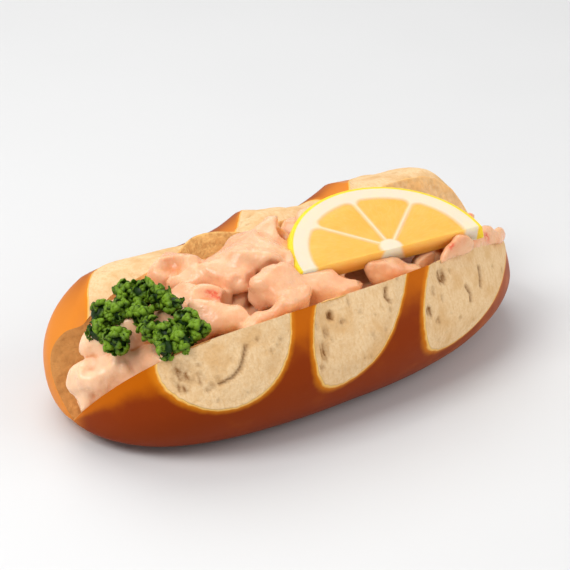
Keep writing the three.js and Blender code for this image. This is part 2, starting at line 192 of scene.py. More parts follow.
# Small pits in every score: how far they spread towards its rim, across and down, their least and
# largest radius, stretch down the crust, and depth as a share of the radius
PIT_SPREAD = (0.94, 0.92)
PIT_RADII = (0.3, 1.05)
PIT_STRETCH = (0.9, 2.2)
PIT_DEPTH = 0.55

# Scores: past its rim, crumb sets in over one span and its hollows over another
TORN_SPAN = (0.0, 1.6)
HOLLOW_SPAN = (0.2, 1.2)

# Scores: a thin lip stands up along the rim, and the crumb inside lies a little lower
LIP_HEIGHT = 0.3
LIP_WIDTH = 0.9
CRUMB_SINK = 0.25

# Crumb and crust: sizes of their lumps, and width and length of the strands that run down the crust
CRUMB_LUMP = 4.5
CRUMB_STRAND = (1.6, 5.0)
TEAR_LUMPS = (2.4, 1.2)
TEAR_STRAND = (0.9, 4.0)
CRUST_LUMP = 16.0
CRUST_UNEVEN = 0.16

# Crumb: painted shade colour of its pores and hollows, and how its fine fibres are drawn out along each
# axis
HOLLOW_SHADE_COLOUR = (140, 104, 58)
FIBRE_STRETCH = (1.0, 0.4, 0.3)

# Crust: it grows darker with the reach from a cut edge, and by a share less towards the right
DARKEN_SPAN = (0.0, 17.0)
DARKEN_RIGHT = (0.0, 50.0)
DARKEN_RIGHT_SHARE = 0.35

# Crust: it is painted paler at the back of the left end, over spans of -x and y, partly as painted light
PALE_END_X = (46.0, 80.0)
PALE_END_Y = (-4.0, 10.0)
# Crust: and paler near the back cut edge, a painted highlight on crust that lies in shade
CREST_HIGHLIGHT = (8.0, 24.0)
CREST_HIGHLIGHT_SHARE = 0.8

# Cut faces: painted shade towards the left end, over a span of -x, painted light towards the right, and
# spongy
CUT_SHADE_SPAN = (40.0, 66.0)
CUT_SHADE_SHARE = 0.85
CUT_LIGHT_SPAN = (0.0, 40.0)
CUT_LIGHT_SHARE = 0.8
SPONGE_LUMPS = (1.3, 3.0)
SPONGE_DEPTH = 0.5
SPONGE_FADE = (0.0, 2.0)
# Cut faces: painted shade in the sponge's sunk cells, even and by depth
SPONGE_SHADE = (0.16, 0.5)

# Salad: the shrimps that show, before and behind the lemon, each a bent path of x, y, z and radius
SHRIMPS = (
    ((-80.3, 2.6, 21.0, 5.6), (-74.0, -2.0, 24.0, 6.0)),
    ((-80.0, 2.4, 20.0, 5.0), (-80.2, 2.2, 14.5, 4.0)),
    ((-74.0, 8.0, 28.0, 5.0), (-72.5, 3.0, 28.0, 5.0)),
    ((-67.0, -7.5, 24.0, 4.2), (-65.5, -12.0, 26.0, 4.6), (-64.0, -16.0, 29.0, 4.2)),
    ((-67.0, -2.0, 31.0, 5.0), (-60.0, -8.0, 35.0, 5.0)),
    ((-64.0, 7.0, 34.0, 5.0), (-56.0, 8.0, 37.0, 5.0)),
    ((-57.0, -14.0, 35.5, 5.0), (-53.0, -7.0, 37.0, 5.0)),
    ((-47.0, 14.5, 38.5, 4.4), (-43.5, 15.5, 40.5, 4.4), (-39.5, 12.0, 41.0, 4.4)),
    ((-40.0, 8.5, 42.0, 4.0), (-43.5, 5.0, 40.0, 4.4)),
    ((-38.0, 6.0, 41.5, 4.8), (-39.5, 1.5, 40.0, 4.8)),
    ((-35.5, -1.0, 41.0, 3.8), (-35.0, -8.5, 41.0, 3.8)),
    ((-48.0, -4.5, 38.0, 4.2), (-45.5, -9.5, 39.5, 4.6), (-42.5, -13.0, 39.5, 4.2)),
    ((-50.0, -17.5, 38.5, 5.0), (-47.0, -20.0, 39.0, 4.6)),
    ((-30.0, 3.0, 41.5, 4.4), (-27.5, -3.5, 43.5, 5.0), (-24.0, -10.0, 43.0, 5.0)),
    ((-22.5, 2.0, 43.5, 4.4), (-19.5, -1.5, 45.0, 5.0), (-18.0, -7.5, 44.5, 4.8)),
    ((-17.0, -2.5, 44.5, 4.8), (-13.5, 0.0, 46.5, 4.6), (-10.0, 1.5, 49.0, 3.6)),
    ((-9.0, -1.5, 44.0, 4.6), (-13.5, -9.5, 42.0, 5.0), (-16.0, -14.5, 40.0, 4.6)),
    ((-32.5, -17.5, 41.0, 4.6), (-29.0, -21.0, 41.5, 5.0), (-23.0, -22.0, 41.0, 4.6)),
    ((-46.0, -27.5, 37.5, 3.0), (-42.0, -27.5, 39.5, 3.6), (-37.0, -27.0, 39.0, 2.8)),
    ((-17.0, -22.5, 38.5, 4.2), (-12.5, -24.5, 37.3, 4.4), (-8.0, -25.0, 36.0, 3.8)),
    ((-8.0, -25.0, 34.5, 2.0), (0.0, -24.5, 35.0, 1.8)),
    ((8.0, -24.5, 38.0, 3.2), (11.5, -26.5, 38.6, 3.6), (17.0, -27.0, 38.4, 3.2)),
    ((23.0, -24.5, 38.0, 3.0), (29.0, -25.0, 38.0, 3.0)),
    ((43.5, -29.0, 39.5, 2.0), (54.0, -26.0, 37.5, 2.0), (67.5, -21.5, 34.0, 1.4)),
    (
        (29.0, -32.5, 41.5, 2.4),
        (32.5, -33.5, 43.5, 3.6),
        (35.0, -34.5, 45.0, 4.0),
        (37.5, -35.0, 43.5, 3.0),
    ),
    ((67.0, -5.5, 37.5, 1.8), (63.5, -10.5, 36.5, 2.0), (61.0, -12.0, 33.0, 3.0)),
    ((48.0, -22.0, 35.5, 4.4), (57.0, -13.0, 32.0, 4.8)),
    ((62.0, -8.0, 29.0, 4.6), (69.0, -3.0, 24.0, 4.6), (74.0, 1.5, 18.0, 4.2)),
    ((4.0, 9.0, 40.0, 4.4), (12.0, 10.0, 40.5, 4.6)),
    ((19.0, 9.5, 41.0, 4.8), (27.0, 8.0, 40.5, 4.6)),
    ((33.0, 7.0, 39.0, 4.6), (40.0, 3.5, 37.0, 4.6)),
    ((-34.5, -27.5, 40.0, 2.8), (-29.5, -28.5, 41.0, 3.2), (-22.0, -29.0, 41.5, 3.0)),
    ((-33.5, -2.0, 41.5, 4.6), (-33.0, -7.0, 41.5, 4.4)),
    ((-37.0, -12.5, 32.8, 3.4), (-31.5, -9.5, 33.6, 3.8)),
    ((-77.0, -3.0, 20.0, 5.2), (-72.0, -7.5, 21.5, 4.8)),
    ((-72.5, -4.0, 25.5, 3.4), (-69.0, -6.0, 26.0, 3.4)),
)
PATH_STEP = 1.2

# Salad: hollows pressed into the shrimps that show, as x, y, z and radius
DIMPLES = (
    (-81.5, -1.1, 26.7, 2.8),
    (-80.4, 0.4, 28.3, 3.0),
    (-45.3, 8.4, 46.0, 4.6),
    (-35.5, -13.0, 45.8, 2.4),
    (-30.0, -14.5, 44.5, 2.6),
    (-23.8, -15.2, 46.2, 2.8),
    (-9.0, -1.0, 48.0, 3.0),
    (-2.3, -25.6, 45.4, 4.8),
    (-38.5, -15.5, 39.5, 4.6),
    (-26.9, 15.2, 39.7, 5.5),
    (-23.2, 15.2, 41.3, 5.5),
    (-19.4, 14.8, 42.5, 4.8),
    (-15.2, 13.7, 44.3, 4.0),
)

# Salad: how far its pieces are bent out of true, for bends of a given size
WARP = ((1.4, 9.0), (0.6, 4.0))

# Salad: the height of random waves, which is divided out
WAVE_SPREAD = 9

# Salad: rows of further shrimps over the rest of the heap, as y and z, clear of the ones above
FILL_ROWS = ((-17, 41), (-5, 41), (8, 37))
FILL_DROP = 13
FILL_DROP_SPAN = (28, 54)
FILL_START = -62
FILL_END = 66
FILL_PITCH = 11
FILL_JITTER = 7
FILL_LENGTH = 9
FILL_LEAN = 5
FILL_RADII = (4.0, 5.2)
FILL_CLEARANCE = 7.5
FILL_SEED = 3

# Salad: a plain repeatable random series for those rows
RANDOM_FACTOR = 1664525
RANDOM_STEP = 1013904223
RANDOM_RANGE = 2**32

# Salad: the core fills this share of the split's depth, less at the left end, and rises to a mound
# under the lemon
CORE_SHARE = 0.72
CORE_LEFT_SHARE = 0.28
CORE_LEFT = (-76, -50)
CORE_REACH = 82
MOUND = {"x": 17, "y": -2, "length": 26, "width": 13, "height": 8.5}
CORE_SWELL = 0.4

# Salad: how softly its pieces run into each other, how many times that far a piece is felt, the limits
# that keep the sums in range, and how square a shrimp is
BLEND = 0.42
BLEND_REACH = 5
CORE_LIMIT = 12
LEAST_WEIGHT = 1e-12
SQUARENESS = 3.0

# Salad: how far past its box it is worked out, how far it presses into the cut faces, and how far
# below their edges that ends
SALAD_BELOW = (4, 4, 4)
SALAD_ABOVE = (4, 4, 6)
CRUMB_PRESS = 0.6
CRUMB_EDGE = 0.2

# Salad: waves, folds and fine waves of the sauce, as height, size and offset, which fade near the lemon
SAUCE_WAVES = (0.4, 6.0, 2.0)
SAUCE_FOLDS = (0.2, 3.4, 4.0)
SAUCE_FINE = (0.14, 1.8, 6.0)
LEMON_CALM = (0.2, 2.0)

# Salad: passes of smoothing that show how deep a hollow is, and the depths where painted shade sets in
BLUR_PASSES = 60
CREASE_SHADE_DEPTHS = (0.05, 1.0)

# Salad: paler sauce, a painted light, sets in towards the left end, over a span of -x
LEFT_LIGHT_SPAN = (66.0, 74.0)
LEFT_LIGHT_SHARE = 0.8

# Salad: where bare red shrimp skin shows through the sauce, as x, y, z and radius, full over a share
# of that radius
RED_MARKS = (
    (-45.4, -11.6, 43.3, 1.8),
    (-44.1, -12.5, 42.9, 2.1),
    (-42.7, -13.6, 42.4, 2.4),
    (-41.2, -14.6, 41.8, 2.1),
    (65.0, -7.0, 38.0, 3.0),
    (31.0, -35.5, 46.0, 2.4),
    (54.0, -26.5, 39.0, 2.6),
)
RED_FULL = 0.3

# Lemon: a half slice, wider by its taper at the underside, where the salad reaches a little into it
LEMON_RADIUS = 32
LEMON_THICKNESS = 5.2
LEMON_BEVEL = 0.6
LEMON_TAPER = 1.5
LEMON_SEAT = 0.15
RIND_PORE = 1.1 * MM

# Lemon: the middle of its straight edge on the upper face, and its tilt, roll and yaw in degrees
LEMON_MIDDLE = (13.2, -27.8, 47.1)
LEMON_TURN = (13.9, 2.7, -12.3)

# Lemon: its core, as x, y, and the walls' turns round it, the outer two past the straight edge
LEMON_CORE = (0.2, 1.4)
LEMON_MEMBRANES = (-60, 46.3, 92.2, 135.2, 240)

# Lemon: the white core's radius, on the straight cut also its narrowing with depth, and the flesh's
# rounded corners
LEMON_CORE_RADIUS = 3.4
LEMON_CUT_CORE = (2.6, 0.35)
PULP_CORNER = 3.0

# Lemon: the flesh dips at its edge and swells further in, but not at the straight edge
PULP_DIP = (0.34, (-0.2, 0.5))
PULP_SWELL = (0.22, (0.2, 3.0))
STRAIGHT_FADE = (0.0, 0.8)

# Lemon: a juice cell's turn round the core in degrees, its length, and its depth on the straight cut
CELL_TURN = 4.2
CELL_LENGTH = 5.0
CELL_DEPTH = 1.25

# Lemon: how finely it is divided, out from the middle, round, down the rind and round its bevels
LEMON_RINGS = 80
LEMON_STEPS = 150
LEMON_LAYERS = 10
BEVEL_STEPS = 4

# Lemon: points this near belong to the straight cut, or are one point
ON_STRAIGHT_CUT = 0.02
ONE_POINT = 1e-4

# Parsley: florets in a horseshoe, as x, y, z and radius
FLORETS = (
    (-72.3, 6.2, 37.5, 3.4),
    (-75.6, 2.2, 34.5, 3.2),
    (-75.3, -6.8, 35.0, 3.2),
    (-69.8, 0.6, 39.5, 3.4),
    (-63.8, 5.7, 41.5, 3.2),
    (-60.3, 1.2, 43.0, 3.4),
    (-58.4, -5.0, 43.5, 3.0),
    (-57.6, -11.1, 43.0, 2.4),
    (-66.3, -5.9, 40.5, 2.8),
    (-67.5, -13.6, 39.0, 2.8),
    (-65.6, -19.6, 39.0, 3.2),
    (-59.3, -19.2, 41.0, 3.0),
    (-58.8, -24.5, 40.5, 2.4),
    (-69.5, -23.6, 37.5, 2.6),
    (-64.6, -25.4, 38.5, 2.4),
)
STEM_RADIUS = 0.8
STEM_SIDES = 8

# Parsley: how many points, lobes and ruffles a leaflet has round it
LEAFLET_POINTS = 18
LEAFLET_LOBES = 3
LEAFLET_RUFFLES = 6

# Parsley: a leaflet's rings, the stalk's end first, and its other sizes, as shares of its radius
LEAFLET_RINGS = (0.0, 0.0, 0.55, 1.0)
LEAFLET_RISE = 0.3
LEAFLET_DOME = 0.5
LEAFLET_WALL = 0.1
LOBE_DOME = 0.2
LOBE_CUT = 0.4
RUFFLE_RISE = 0.14
STALK_RADIUS = 0.07
STALK_DROP = 0.5

# Parsley: how far leaflets lean, in radians, and between which shares of their size they vary
LEAFLET_LEAN = 1.1
LEAFLET_SIZES = (0.7, 1.45)
SQUARE_CENTIMETRE = 1e-4

# Stage: soft lights as size and distance in metres, then azimuth and elevation in degrees
LIGHTS = {
    "key": (0.45, 0.9, -92, 51),
    "fill": (0.7, 1.0, 38, 30),
    "top": (0.9, 1.2, 165, 55),
}
FLOOR_REACH = 4.0

# Stage: the place the camera faces, then moved to the right and up in its own view
CAMERA_TARGET = (0, 4.9, 21.4)
CAMERA_SHIFT = (-2.757, 4.078)


def srgb(red, green, blue):
    """A colour as the eye reads it, from 0 to 255, as linear values"""
    shares = np.array((red, green, blue)) / 255
    return tuple(np.where(shares < 0.04045, shares / 12.92, ((shares + 0.055) / 1.055) ** 2.4))


def colour_setting(name, description, red, green, blue):
    """A setting for a colour, from 0 to 255"""
    return FloatVectorProperty(
        name=name,
        description=description,
        subtype="COLOR",
        size=3,
        min=0.0,
        max=1.0,
        default=srgb(red, green, blue),
    )


def length_setting(name, description, millimetres):
    """A setting for a length, kept in metres"""
    return FloatProperty(name=name, description=description, unit="LENGTH", default=millimetres * MM)


def angle_setting(name, description, degrees):
    """A setting for an angle, kept in radians"""
    turn = math.radians(degrees)
    return FloatProperty(name=name, description=description, subtype="ANGLE", default=turn)


def power_setting(name, description, watts):
    """A setting for a light's power"""
    return FloatProperty(name=name, description=description, unit="POWER", default=watts)


def number_setting(name, description, value, **settings):
    """A setting for a plain number"""
    return FloatProperty(name=name, description=description, default=value, **settings)


def count_setting(name, description, value):
    """A setting for a whole number"""
    return IntProperty(name=name, description=description, default=value, min=0)


class RollLook(bpy.types.PropertyGroup):
    """Sizes and colours of the pretzel roll"""

    crust: colour_setting("Crust", "Browned crust high on the sides", 190, 95, 0)
    # Dark crust is the colour the crust grows darker to, further from the cut edges
    crust_dark: colour_setting("Dark crust", "Crust low down, where it baked longest", 134, 50, 6)
    crust_gold: colour_setting("Golden crust", "Thinner crust beside the scores", 222, 132, 20)
    # End crust paints the left end paler, partly as painted light, and is the painted highlight near the
    # back cut edge
    crust_pale_and_lit: colour_setting("End crust", "Paler crust at the left end", 222, 134, 48)
    crust_rim: colour_setting("Crust rim", "Pale yellow line where crust meets crumb", 250, 206, 118)
    crumb: colour_setting("Crumb", "Torn crumb in the scores", 235, 202, 157)
    crumb_shade: colour_setting("Crumb shade", "Darker patches of the torn crumb", 216, 171, 116)
    cut_crumb: colour_setting("Cut crumb", "Crumb of the cut faces", 250, 200, 126)
    cut_shade: colour_setting("Cut crumb shade", "Darker patches of the cut faces", 228, 164, 94)
    # Cut crumb end is the painted shade of the cut faces at the left end
    cut_shaded_end: colour_setting("Cut crumb end", "Crumb of the cut faces at the left end", 190, 126, 66)
    window_step: length_setting("Score step", "How far the crumb sinks and rises across a score", 1.3)
    crumb_relief: length_setting("Crumb relief", "How uneven the torn crumb is", 0.42)
    pits: count_setting("Pits", "Small pits in each score", 26)
    seed: count_setting("Seed", "Order of the small pits", 4)


class SaladLook(bpy.types.PropertyGroup):
    """Sizes and colours of the shrimps in sauce"""

    sauce: colour_setting("Sauce", "Creamy sauce over the shrimps", 235, 183, 141)
    # Thick sauce is a painted light on the lumps at the left end, where little light reaches
    sauce_lit_left: colour_setting("Thick sauce", "Paler sauce on the lumps at the left end", 255, 209, 170)
    flesh: colour_setting("Flesh", "Shrimp flesh that shines through thin sauce", 230, 162, 118)
    # The next two colours are painted shade in the salad's creases, the softer and the deepest
    pool: colour_setting("Pool", "Sauce that gathers in hollows", 222, 138, 80)
    crevice: colour_setting("Crevice", "Sauce deep between shrimps", 164, 70, 20)
    skin: colour_setting("Skin", "Red shrimp skin that shows", 222, 84, 54)
    grain: length_setting("Grain", "Size of the cells that the sauce's surface is worked out on", 0.64)
    softening: count_setting("Softening", "Smoothing passes over the sauce", 3)


class LemonLook(bpy.types.PropertyGroup):
    """Sizes and colours of the half slice of lemon"""

    rind: colour_setting("Rind", "Yellow outer rind", 250, 204, 58)
    pith: colour_setting("Pith", "White layer under the rind", 221, 209, 184)
    pulp: colour_setting("Pulp", "Translucent flesh", 239, 178, 86)
    pulp_deep: colour_setting("Deep pulp", "Flesh between the juice cells", 235, 168, 70)
    membrane: colour_setting("Membrane", "Thin walls between the segments", 252, 226, 170)
    rind_width: length_setting("Rind width", "Thickness of the yellow rind", 1.2)
    pulp_radius: length_setting("Pulp radius", "Radius that the flesh reaches", 26.2)
    membrane_width: length_setting("Membrane width", "Thickness of the walls between segments", 0.5)


class ParsleyLook(bpy.types.PropertyGroup):
    """Sizes and colours of the curly parsley"""

    leaf: colour_setting("Leaf", "Fresh green of the leaflets", 114, 148, 30)
    leaf_dark: colour_setting("Dark leaf", "Shaded and older leaflets", 22, 48, 4)
    leaflet: length_setting("Leaflet", "Radius of a leaflet", 1.55)
    leaflets: number_setting("Leaflets", "Leaflets on each square centimetre", 29.0)
    # The cores and stems take the dark leaf colour, a painted shade between the leaflets
    core: number_setting("Core", "Share of a floret's radius that is stalks", 0.93, subtype="FACTOR")
    seed: count_setting("Seed", "Order of the leaflets", 7)


class StageLook(bpy.types.PropertyGroup):
    """Floor, light and camera"""

    floor: colour_setting("Floor", "Plain pale floor", 215, 215, 215)
    sky: number_setting("Sky", "Strength of the even light from all round", 0.5)
    key: power_setting("Key light", "Power of the soft light at the left", 4.8)
    fill: power_setting("Fill light", "Power of the soft light in front", 3.5)
    top: power_setting("Top light", "Power of the soft light behind", 6.0)
    lens: number_setting("Lens", "Focal length", 119.3, unit="CAMERA")
    camera_azimuth: angle_setting("Camera azimuth", "Turn about the object", -38.01)
    camera_elevation: angle_setting("Camera elevation", "Height of view", 26.05)
    camera_distance: length_setting("Camera distance", "From the point looked at", 610.88)


def smoothstep(value, low, high):
    """From 0 at low to 1 at high, level at both"""
    share = np.clip((value - low) / (high - low), 0, 1)
    return share * share * (3 - 2 * share)


def lerp(first, second, share):
    """From the first to the second as the share goes from 0 to 1"""
    return first + (second - first) * share


def noise_at(points, size, offset=0.0):
    """Smooth noise from -1 to 1 at points in millimetres, with lumps of about the given size"""
    shift = Vector((offset, 0.7 * offset, 1.3 * offset))
    flat = np.reshape(points, (-1, 3)) / size
    values = np.array([noise.noise(Vector(point) + shift) for point in flat.tolist()])
    return values.reshape(np.shape(points)[:-1])


def loft_faces(rings, sides):
    """Faces of a closed tube of rings of points, whose last two points are its tips"""
    faces = []
    for ring in range(rings - 1):
        for side in range(sides):
            turn = (side + 1) % sides
            first, second = ring * sides, (ring + 1) * sides
            faces.append((first + side, first + turn, second + turn, second + side))
    start, end = rings * sides, rings * sides + 1
    last = (rings - 1) * sides
    for side in range(sides):
        turn = (side + 1) % sides
        faces.append((start, turn, side))
        faces.append((end, last + side, last + turn))
    return faces


def mesh_of(name, points, faces):
    """A mesh in metres from points in millimetres"""
    mesh = bpy.data.meshes.new(name)
    mesh.from_pydata((np.asarray(points) * MM).tolist(), [], faces)
    mesh.update()
    return mesh


def add_attribute(mesh, name, values, kind="FLOAT"):
    """A value, or a vector, at each of the mesh's points"""
    attribute = mesh.attributes.new(name, kind, "POINT")
    field = "vector" if kind == "FLOAT_VECTOR" else "value"
    attribute.data.foreach_set(field, np.asarray(values, np.float32).ravel())


def points_of(mesh):
    """The mesh's points in millimetres"""
    flat = np.empty(len(mesh.vertices) * 3, np.float32)
    mesh.vertices.foreach_get("co", flat)
    return flat.reshape(-1, 3).astype(float) / MM


def move_points(mesh, points):
    """Move the mesh's points to places in millimetres"""
    mesh.vertices.foreach_set("co", (np.asarray(points) * MM).astype(np.float32).ravel())
    mesh.update()


def evaluated_mesh(obj, name):
    """What the object's modifiers make of it, as a plain mesh"""
    graph = bpy.context.evaluated_depsgraph_get()
    mesh = bpy.data.meshes.new_from_object(obj.evaluated_get(graph))
    mesh.name = name
    return mesh


def show(mesh, materials, node):
    """The finished piece that stands for a node"""
    piece = bpy.data.objects.new(mesh.name, mesh)
    bpy.context.scene.collection.objects.link(piece)
    mesh.materials.clear()
    for material in materials:
        mesh.materials.append(material)
    mesh.polygons.foreach_set("use_smooth", np.ones(len(mesh.polygons), bool))
    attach(piece, BODY)
    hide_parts(node)
    return piece


class TreeBuilder:
    """Adds nodes to a tree: an input is linked if it is given a socket, and else set"""

    def __init__(self, tree):
        self.tree = tree

    def give(self, socket, value):
        """Link the socket or set it, a colour as an opaque one"""
        if isinstance(value, bpy.types.NodeSocket):
            self.tree.links.new(value, socket)
        elif socket.type == "RGBA":
            socket.default_value = (*value, 1.0)
        else:
            socket.default_value = value

    def node(self, kind, inputs=None, **settings):
        """A new node with its settings and inputs"""
        node = self.tree.nodes.new(kind)
        for name, value in settings.items():
            setattr(node, name, value)
        for key, value in (inputs or {}).items():
            self.give(node.inputs[key], value)
        return node

    def principled(self, **inputs):
        """Give the material's shader its inputs, named with underscores for spaces"""
        shader = self.tree.nodes["Principled BSDF"]
        for name, value in inputs.items():
            self.give(shader.inputs[name.replace("_", " ")], value)

    def attribute(self, name, output="Fac"):
        """One of the mesh's attributes"""
        return self.node("ShaderNodeAttribute", attribute_name=name).outputs[output]

    def coordinates(self):
        """The piece's own coordinates, in metres"""
        return self.node("ShaderNodeTexCoord").outputs["Object"]

    def noise(self, size, detail=2.0, vector=None):
        """Noise from 0 to 1, with lumps of about the given size in millimetres"""
        place = vector or self.coordinates()
        inputs = {"Vector": place, "Scale": 1 / (size * MM), "Detail": detail}
        return self.node("ShaderNodeTexNoise", inputs).outputs[0]

    def cells(self, scale, vector=None, feature="F1"):
        """Distances in a pattern of cells, so many to each unit of the coordinates"""
        inputs = {"Vector": vector or self.coordinates(), "Scale": scale}
        return self.node("ShaderNodeTexVoronoi", inputs, feature=feature).outputs["Distance"]

    def ramp(self, value, low, high, start=0.0, end=1.0):
        """A smooth change from start to end as the value goes from low to high"""
        inputs = {"Value": value, "From Min": low, "From Max": high, "To Min": start, "To Max": end}
        node = self.node("ShaderNodeMapRange", inputs, interpolation_type="SMOOTHSTEP")
        return node.outputs["Result"]

    def math(self, operation, first, second):
        """Two values added, taken away or multiplied"""
        return self.node("ShaderNodeMath", {0: first, 1: second}, operation=operation).outputs[0]

    def mix(self, share, first, second, **settings):
        """From the first colour to the second as the share goes from 0 to 1"""
        inputs = {0: share, 6: first, 7: second}
        return self.node("ShaderNodeMix", inputs, data_type="RGBA", **settings).outputs[2]

    def random(self, least, most, seed):
        """A random number for each point or instance"""
        inputs = {2: least, 3: most, "Seed": seed}
        return self.node("FunctionNodeRandomValue", inputs).outputs[1]

    def bump(self, height, depth):
        """A normal from a height, whose full range is a depth in millimetres"""
        inputs = {"Height": height, "Distance": depth * MM, "Strength": 1.0}
        return self.node("ShaderNodeBump", inputs).outputs["Normal"]


def add_sockets(tree, direction, **kinds):
    """Named inputs or outputs of a node group, each of its kind"""
    for name, kind in kinds.items():
        tree.interface.new_socket(name, in_out=direction, socket_type=f"NodeSocket{kind}")


def new_material(name):
    """A material that has only its shader so far, and the builder of its tree"""
    material = bpy.data.materials.new(name)
    material.use_nodes = True
    return material, TreeBuilder(material.node_tree)


def crumb_group():
    """Bread crumb: random patches of lighter and darker tone, fine grain, and painted shade in its pores
    """
    name = "Bread crumb"
    if name in bpy.data.node_groups:
        return bpy.data.node_groups[name]
    tree = bpy.data.node_groups.new(name, "ShaderNodeTree")
    add_sockets(tree, "INPUT", Light="Color", Shade="Color", Pore="Float")
    add_sockets(tree, "OUTPUT", Color="Color", Height="Float")
    shade = TreeBuilder(tree)
    inputs = tree.nodes.new("NodeGroupInput").outputs
    patches = shade.ramp(shade.noise(7.0, 4.0), 0.42, 0.72, 0.0, 0.8)
    grain = shade.noise(0.8, 4.0)
    stretch = {0: shade.coordinates(), 1: FIBRE_STRETCH}
    upright = shade.node("ShaderNodeVectorMath", stretch, operation="MULTIPLY").outputs[0]
    fibre = shade.noise(0.9, 3.0, upright)
    tone = shade.mix(patches, inputs["Light"], inputs["Shade"])
    streaked = shade.mix(shade.ramp(fibre, 0.52, 0.32, 0.0, 0.4), tone, inputs["Shade"])
    fine = shade.mix(shade.ramp(grain, 0.6, 0.36, 0.0, 0.3), streaked, inputs["Shade"])
    # The painted shade of the pores and hollows, broken up by the grain
    ragged = shade.math("MULTIPLY", inputs["Pore"], shade.ramp(grain, 0.7, 0.3, 0.7, 1.0))
    deep = shade.mix(ragged, fine, srgb(*HOLLOW_SHADE_COLOUR), blend_type="MULTIPLY")
    height = shade.math("ADD", grain, shade.math("MULTIPLY", fibre, 0.7))
    shade.node("NodeGroupOutput", {"Color": deep, "Height": height})
    return tree


def crumb_nodes(shade, light, dark, pore):
    """The crumb's colour and height in a material, between its own light and dark"""
    inputs = {"Light": light, "Shade": dark, "Pore": pore}
    group = shade.node("ShaderNodeGroup", inputs, node_tree=crumb_group())
    return group.outputs["Color"], group.outputs["Height"]


def crust_material(look):
    """Glossy brown lye crust, golden beside the scores, with torn crumb inside them"""
    material, shade = new_material("Pretzel crust")
    wobble = shade.math("SUBTRACT", shade.noise(2.6, 3.0), 0.5)
    edge = shade.math("ADD", shade.attribute("crumb_edge"), shade.math("MULTIPLY", wobble, 1.1))
    torn = shade.ramp(edge, -0.1, 0.3)
    mottle = shade.math("SUBTRACT", shade.noise(9.0, 5.0), 0.5)
    # Darker further from the cut edges, with random mottling
    baked = shade.math("ADD", shade.attribute("bake"), shade.math("MULTIPLY", mottle, 0.9))
    brown = shade.mix(shade.ramp(baked, 0.1, 1.0), look.crust, look.crust_dark)
    # Paler at the left end, partly painted light, and a painted highlight near the back cut edge
    paler = shade.mix(shade.attribute("pale_end"), brown, look.crust_pale_and_lit)
    golden = shade.mix(shade.ramp(edge, -2.6, -0.3, 0.0, 0.75), paler, look.crust_gold)
    rimmed = shade.mix(shade.ramp(edge, -0.8, -0.05, 0.0, 0.85), golden, look.crust_rim)
    pore = shade.attribute("pore")
    crumb, height = crumb_nodes(shade, look.crumb, look.crumb_shade, pore)
    uneven = shade.math("MULTIPLY", mottle, 0.12)
    gloss = shade.math("ADD", shade.ramp(torn, 0.0, 1.0, 0.4, 0.85), uneven)
    shade.principled(
        Base_Color=shade.mix(torn, rimmed, crumb),
        Roughness=gloss,
        Specular_IOR_Level=0.06,
        Normal=shade.bump(shade.math("MULTIPLY", height, torn), 0.3),
    )
    return material


def cut_material(look):
    """Spongy crumb of the cut faces, with painted shade at the left end and painted light to the right
    """
    material, shade = new_material("Cut crumb")
    # Painted shade towards the left end of the cut faces
    toast = shade.attribute("toast")
    # Painted light: the cut faces are painted paler towards the right, where they lie in shade
    pale = shade.attribute("pale_cut")
    shaded_light = shade.mix(toast, look.cut_crumb, look.cut_shaded_end)
    light = shade.mix(pale, shaded_light, look.crumb)
    shaded_dark = shade.mix(toast, look.cut_shade, look.cut_shaded_end)
    dark = shade.mix(pale, shaded_dark, look.cut_crumb)
    crumb, height = crumb_nodes(shade, light, dark, shade.attribute("pore"))
    shade.principled(
        Base_Color=crumb,
        Roughness=0.9,
        Specular_IOR_Level=0.15,
        Normal=shade.bump(height, 0.4),
    )
    return material


def sauce_material(look):
    """Moist creamy sauce that thins over the shrimps, with orange painted shade between them"""
    material, shade = new_material("Shrimp in sauce")
    thin = shade.ramp(shade.noise(7.0, 2.0), 0.42, 0.66, 0.0, 0.8)
    coat = shade.mix(thin, look.sauce, look.flesh)
    # Painted light: paler sauce on the lumps at the left end
    creamy = shade.mix(shade.attribute("thick"), coat, look.sauce_lit_left)
    hollow = shade.attribute("crevice")
    # Painted shade in the creases, soft and then deep
    softly_shaded = shade.mix(shade.ramp(hollow, 0.0, 0.5), creamy, look.pool)
    crease_shaded = shade.mix(shade.ramp(hollow, 0.4, 1.0), softly_shaded, look.crevice)
    patches = shade.ramp(shade.noise(1.2, 3.0), 0.36, 0.62, 0.15, 0.9)
    speckle = shade.math("MULTIPLY", shade.attribute("red"), patches)
    gloss = shade.ramp(shade.noise(3.0, 2.0), 0.3, 0.7, 0.2, 0.36)
    shade.principled(
        Base_Color=shade.mix(speckle, crease_shaded, look.skin),
        Roughness=gloss,
        Subsurface_Weight=0.25,
        Subsurface_Radius=(1.0, 0.42, 0.2),
        Subsurface_Scale=2.5 * MM,
        Specular_IOR_Level=0.4,
        Normal=shade.bump(shade.noise(1.6, 3.0), 0.2),
    )
    return material


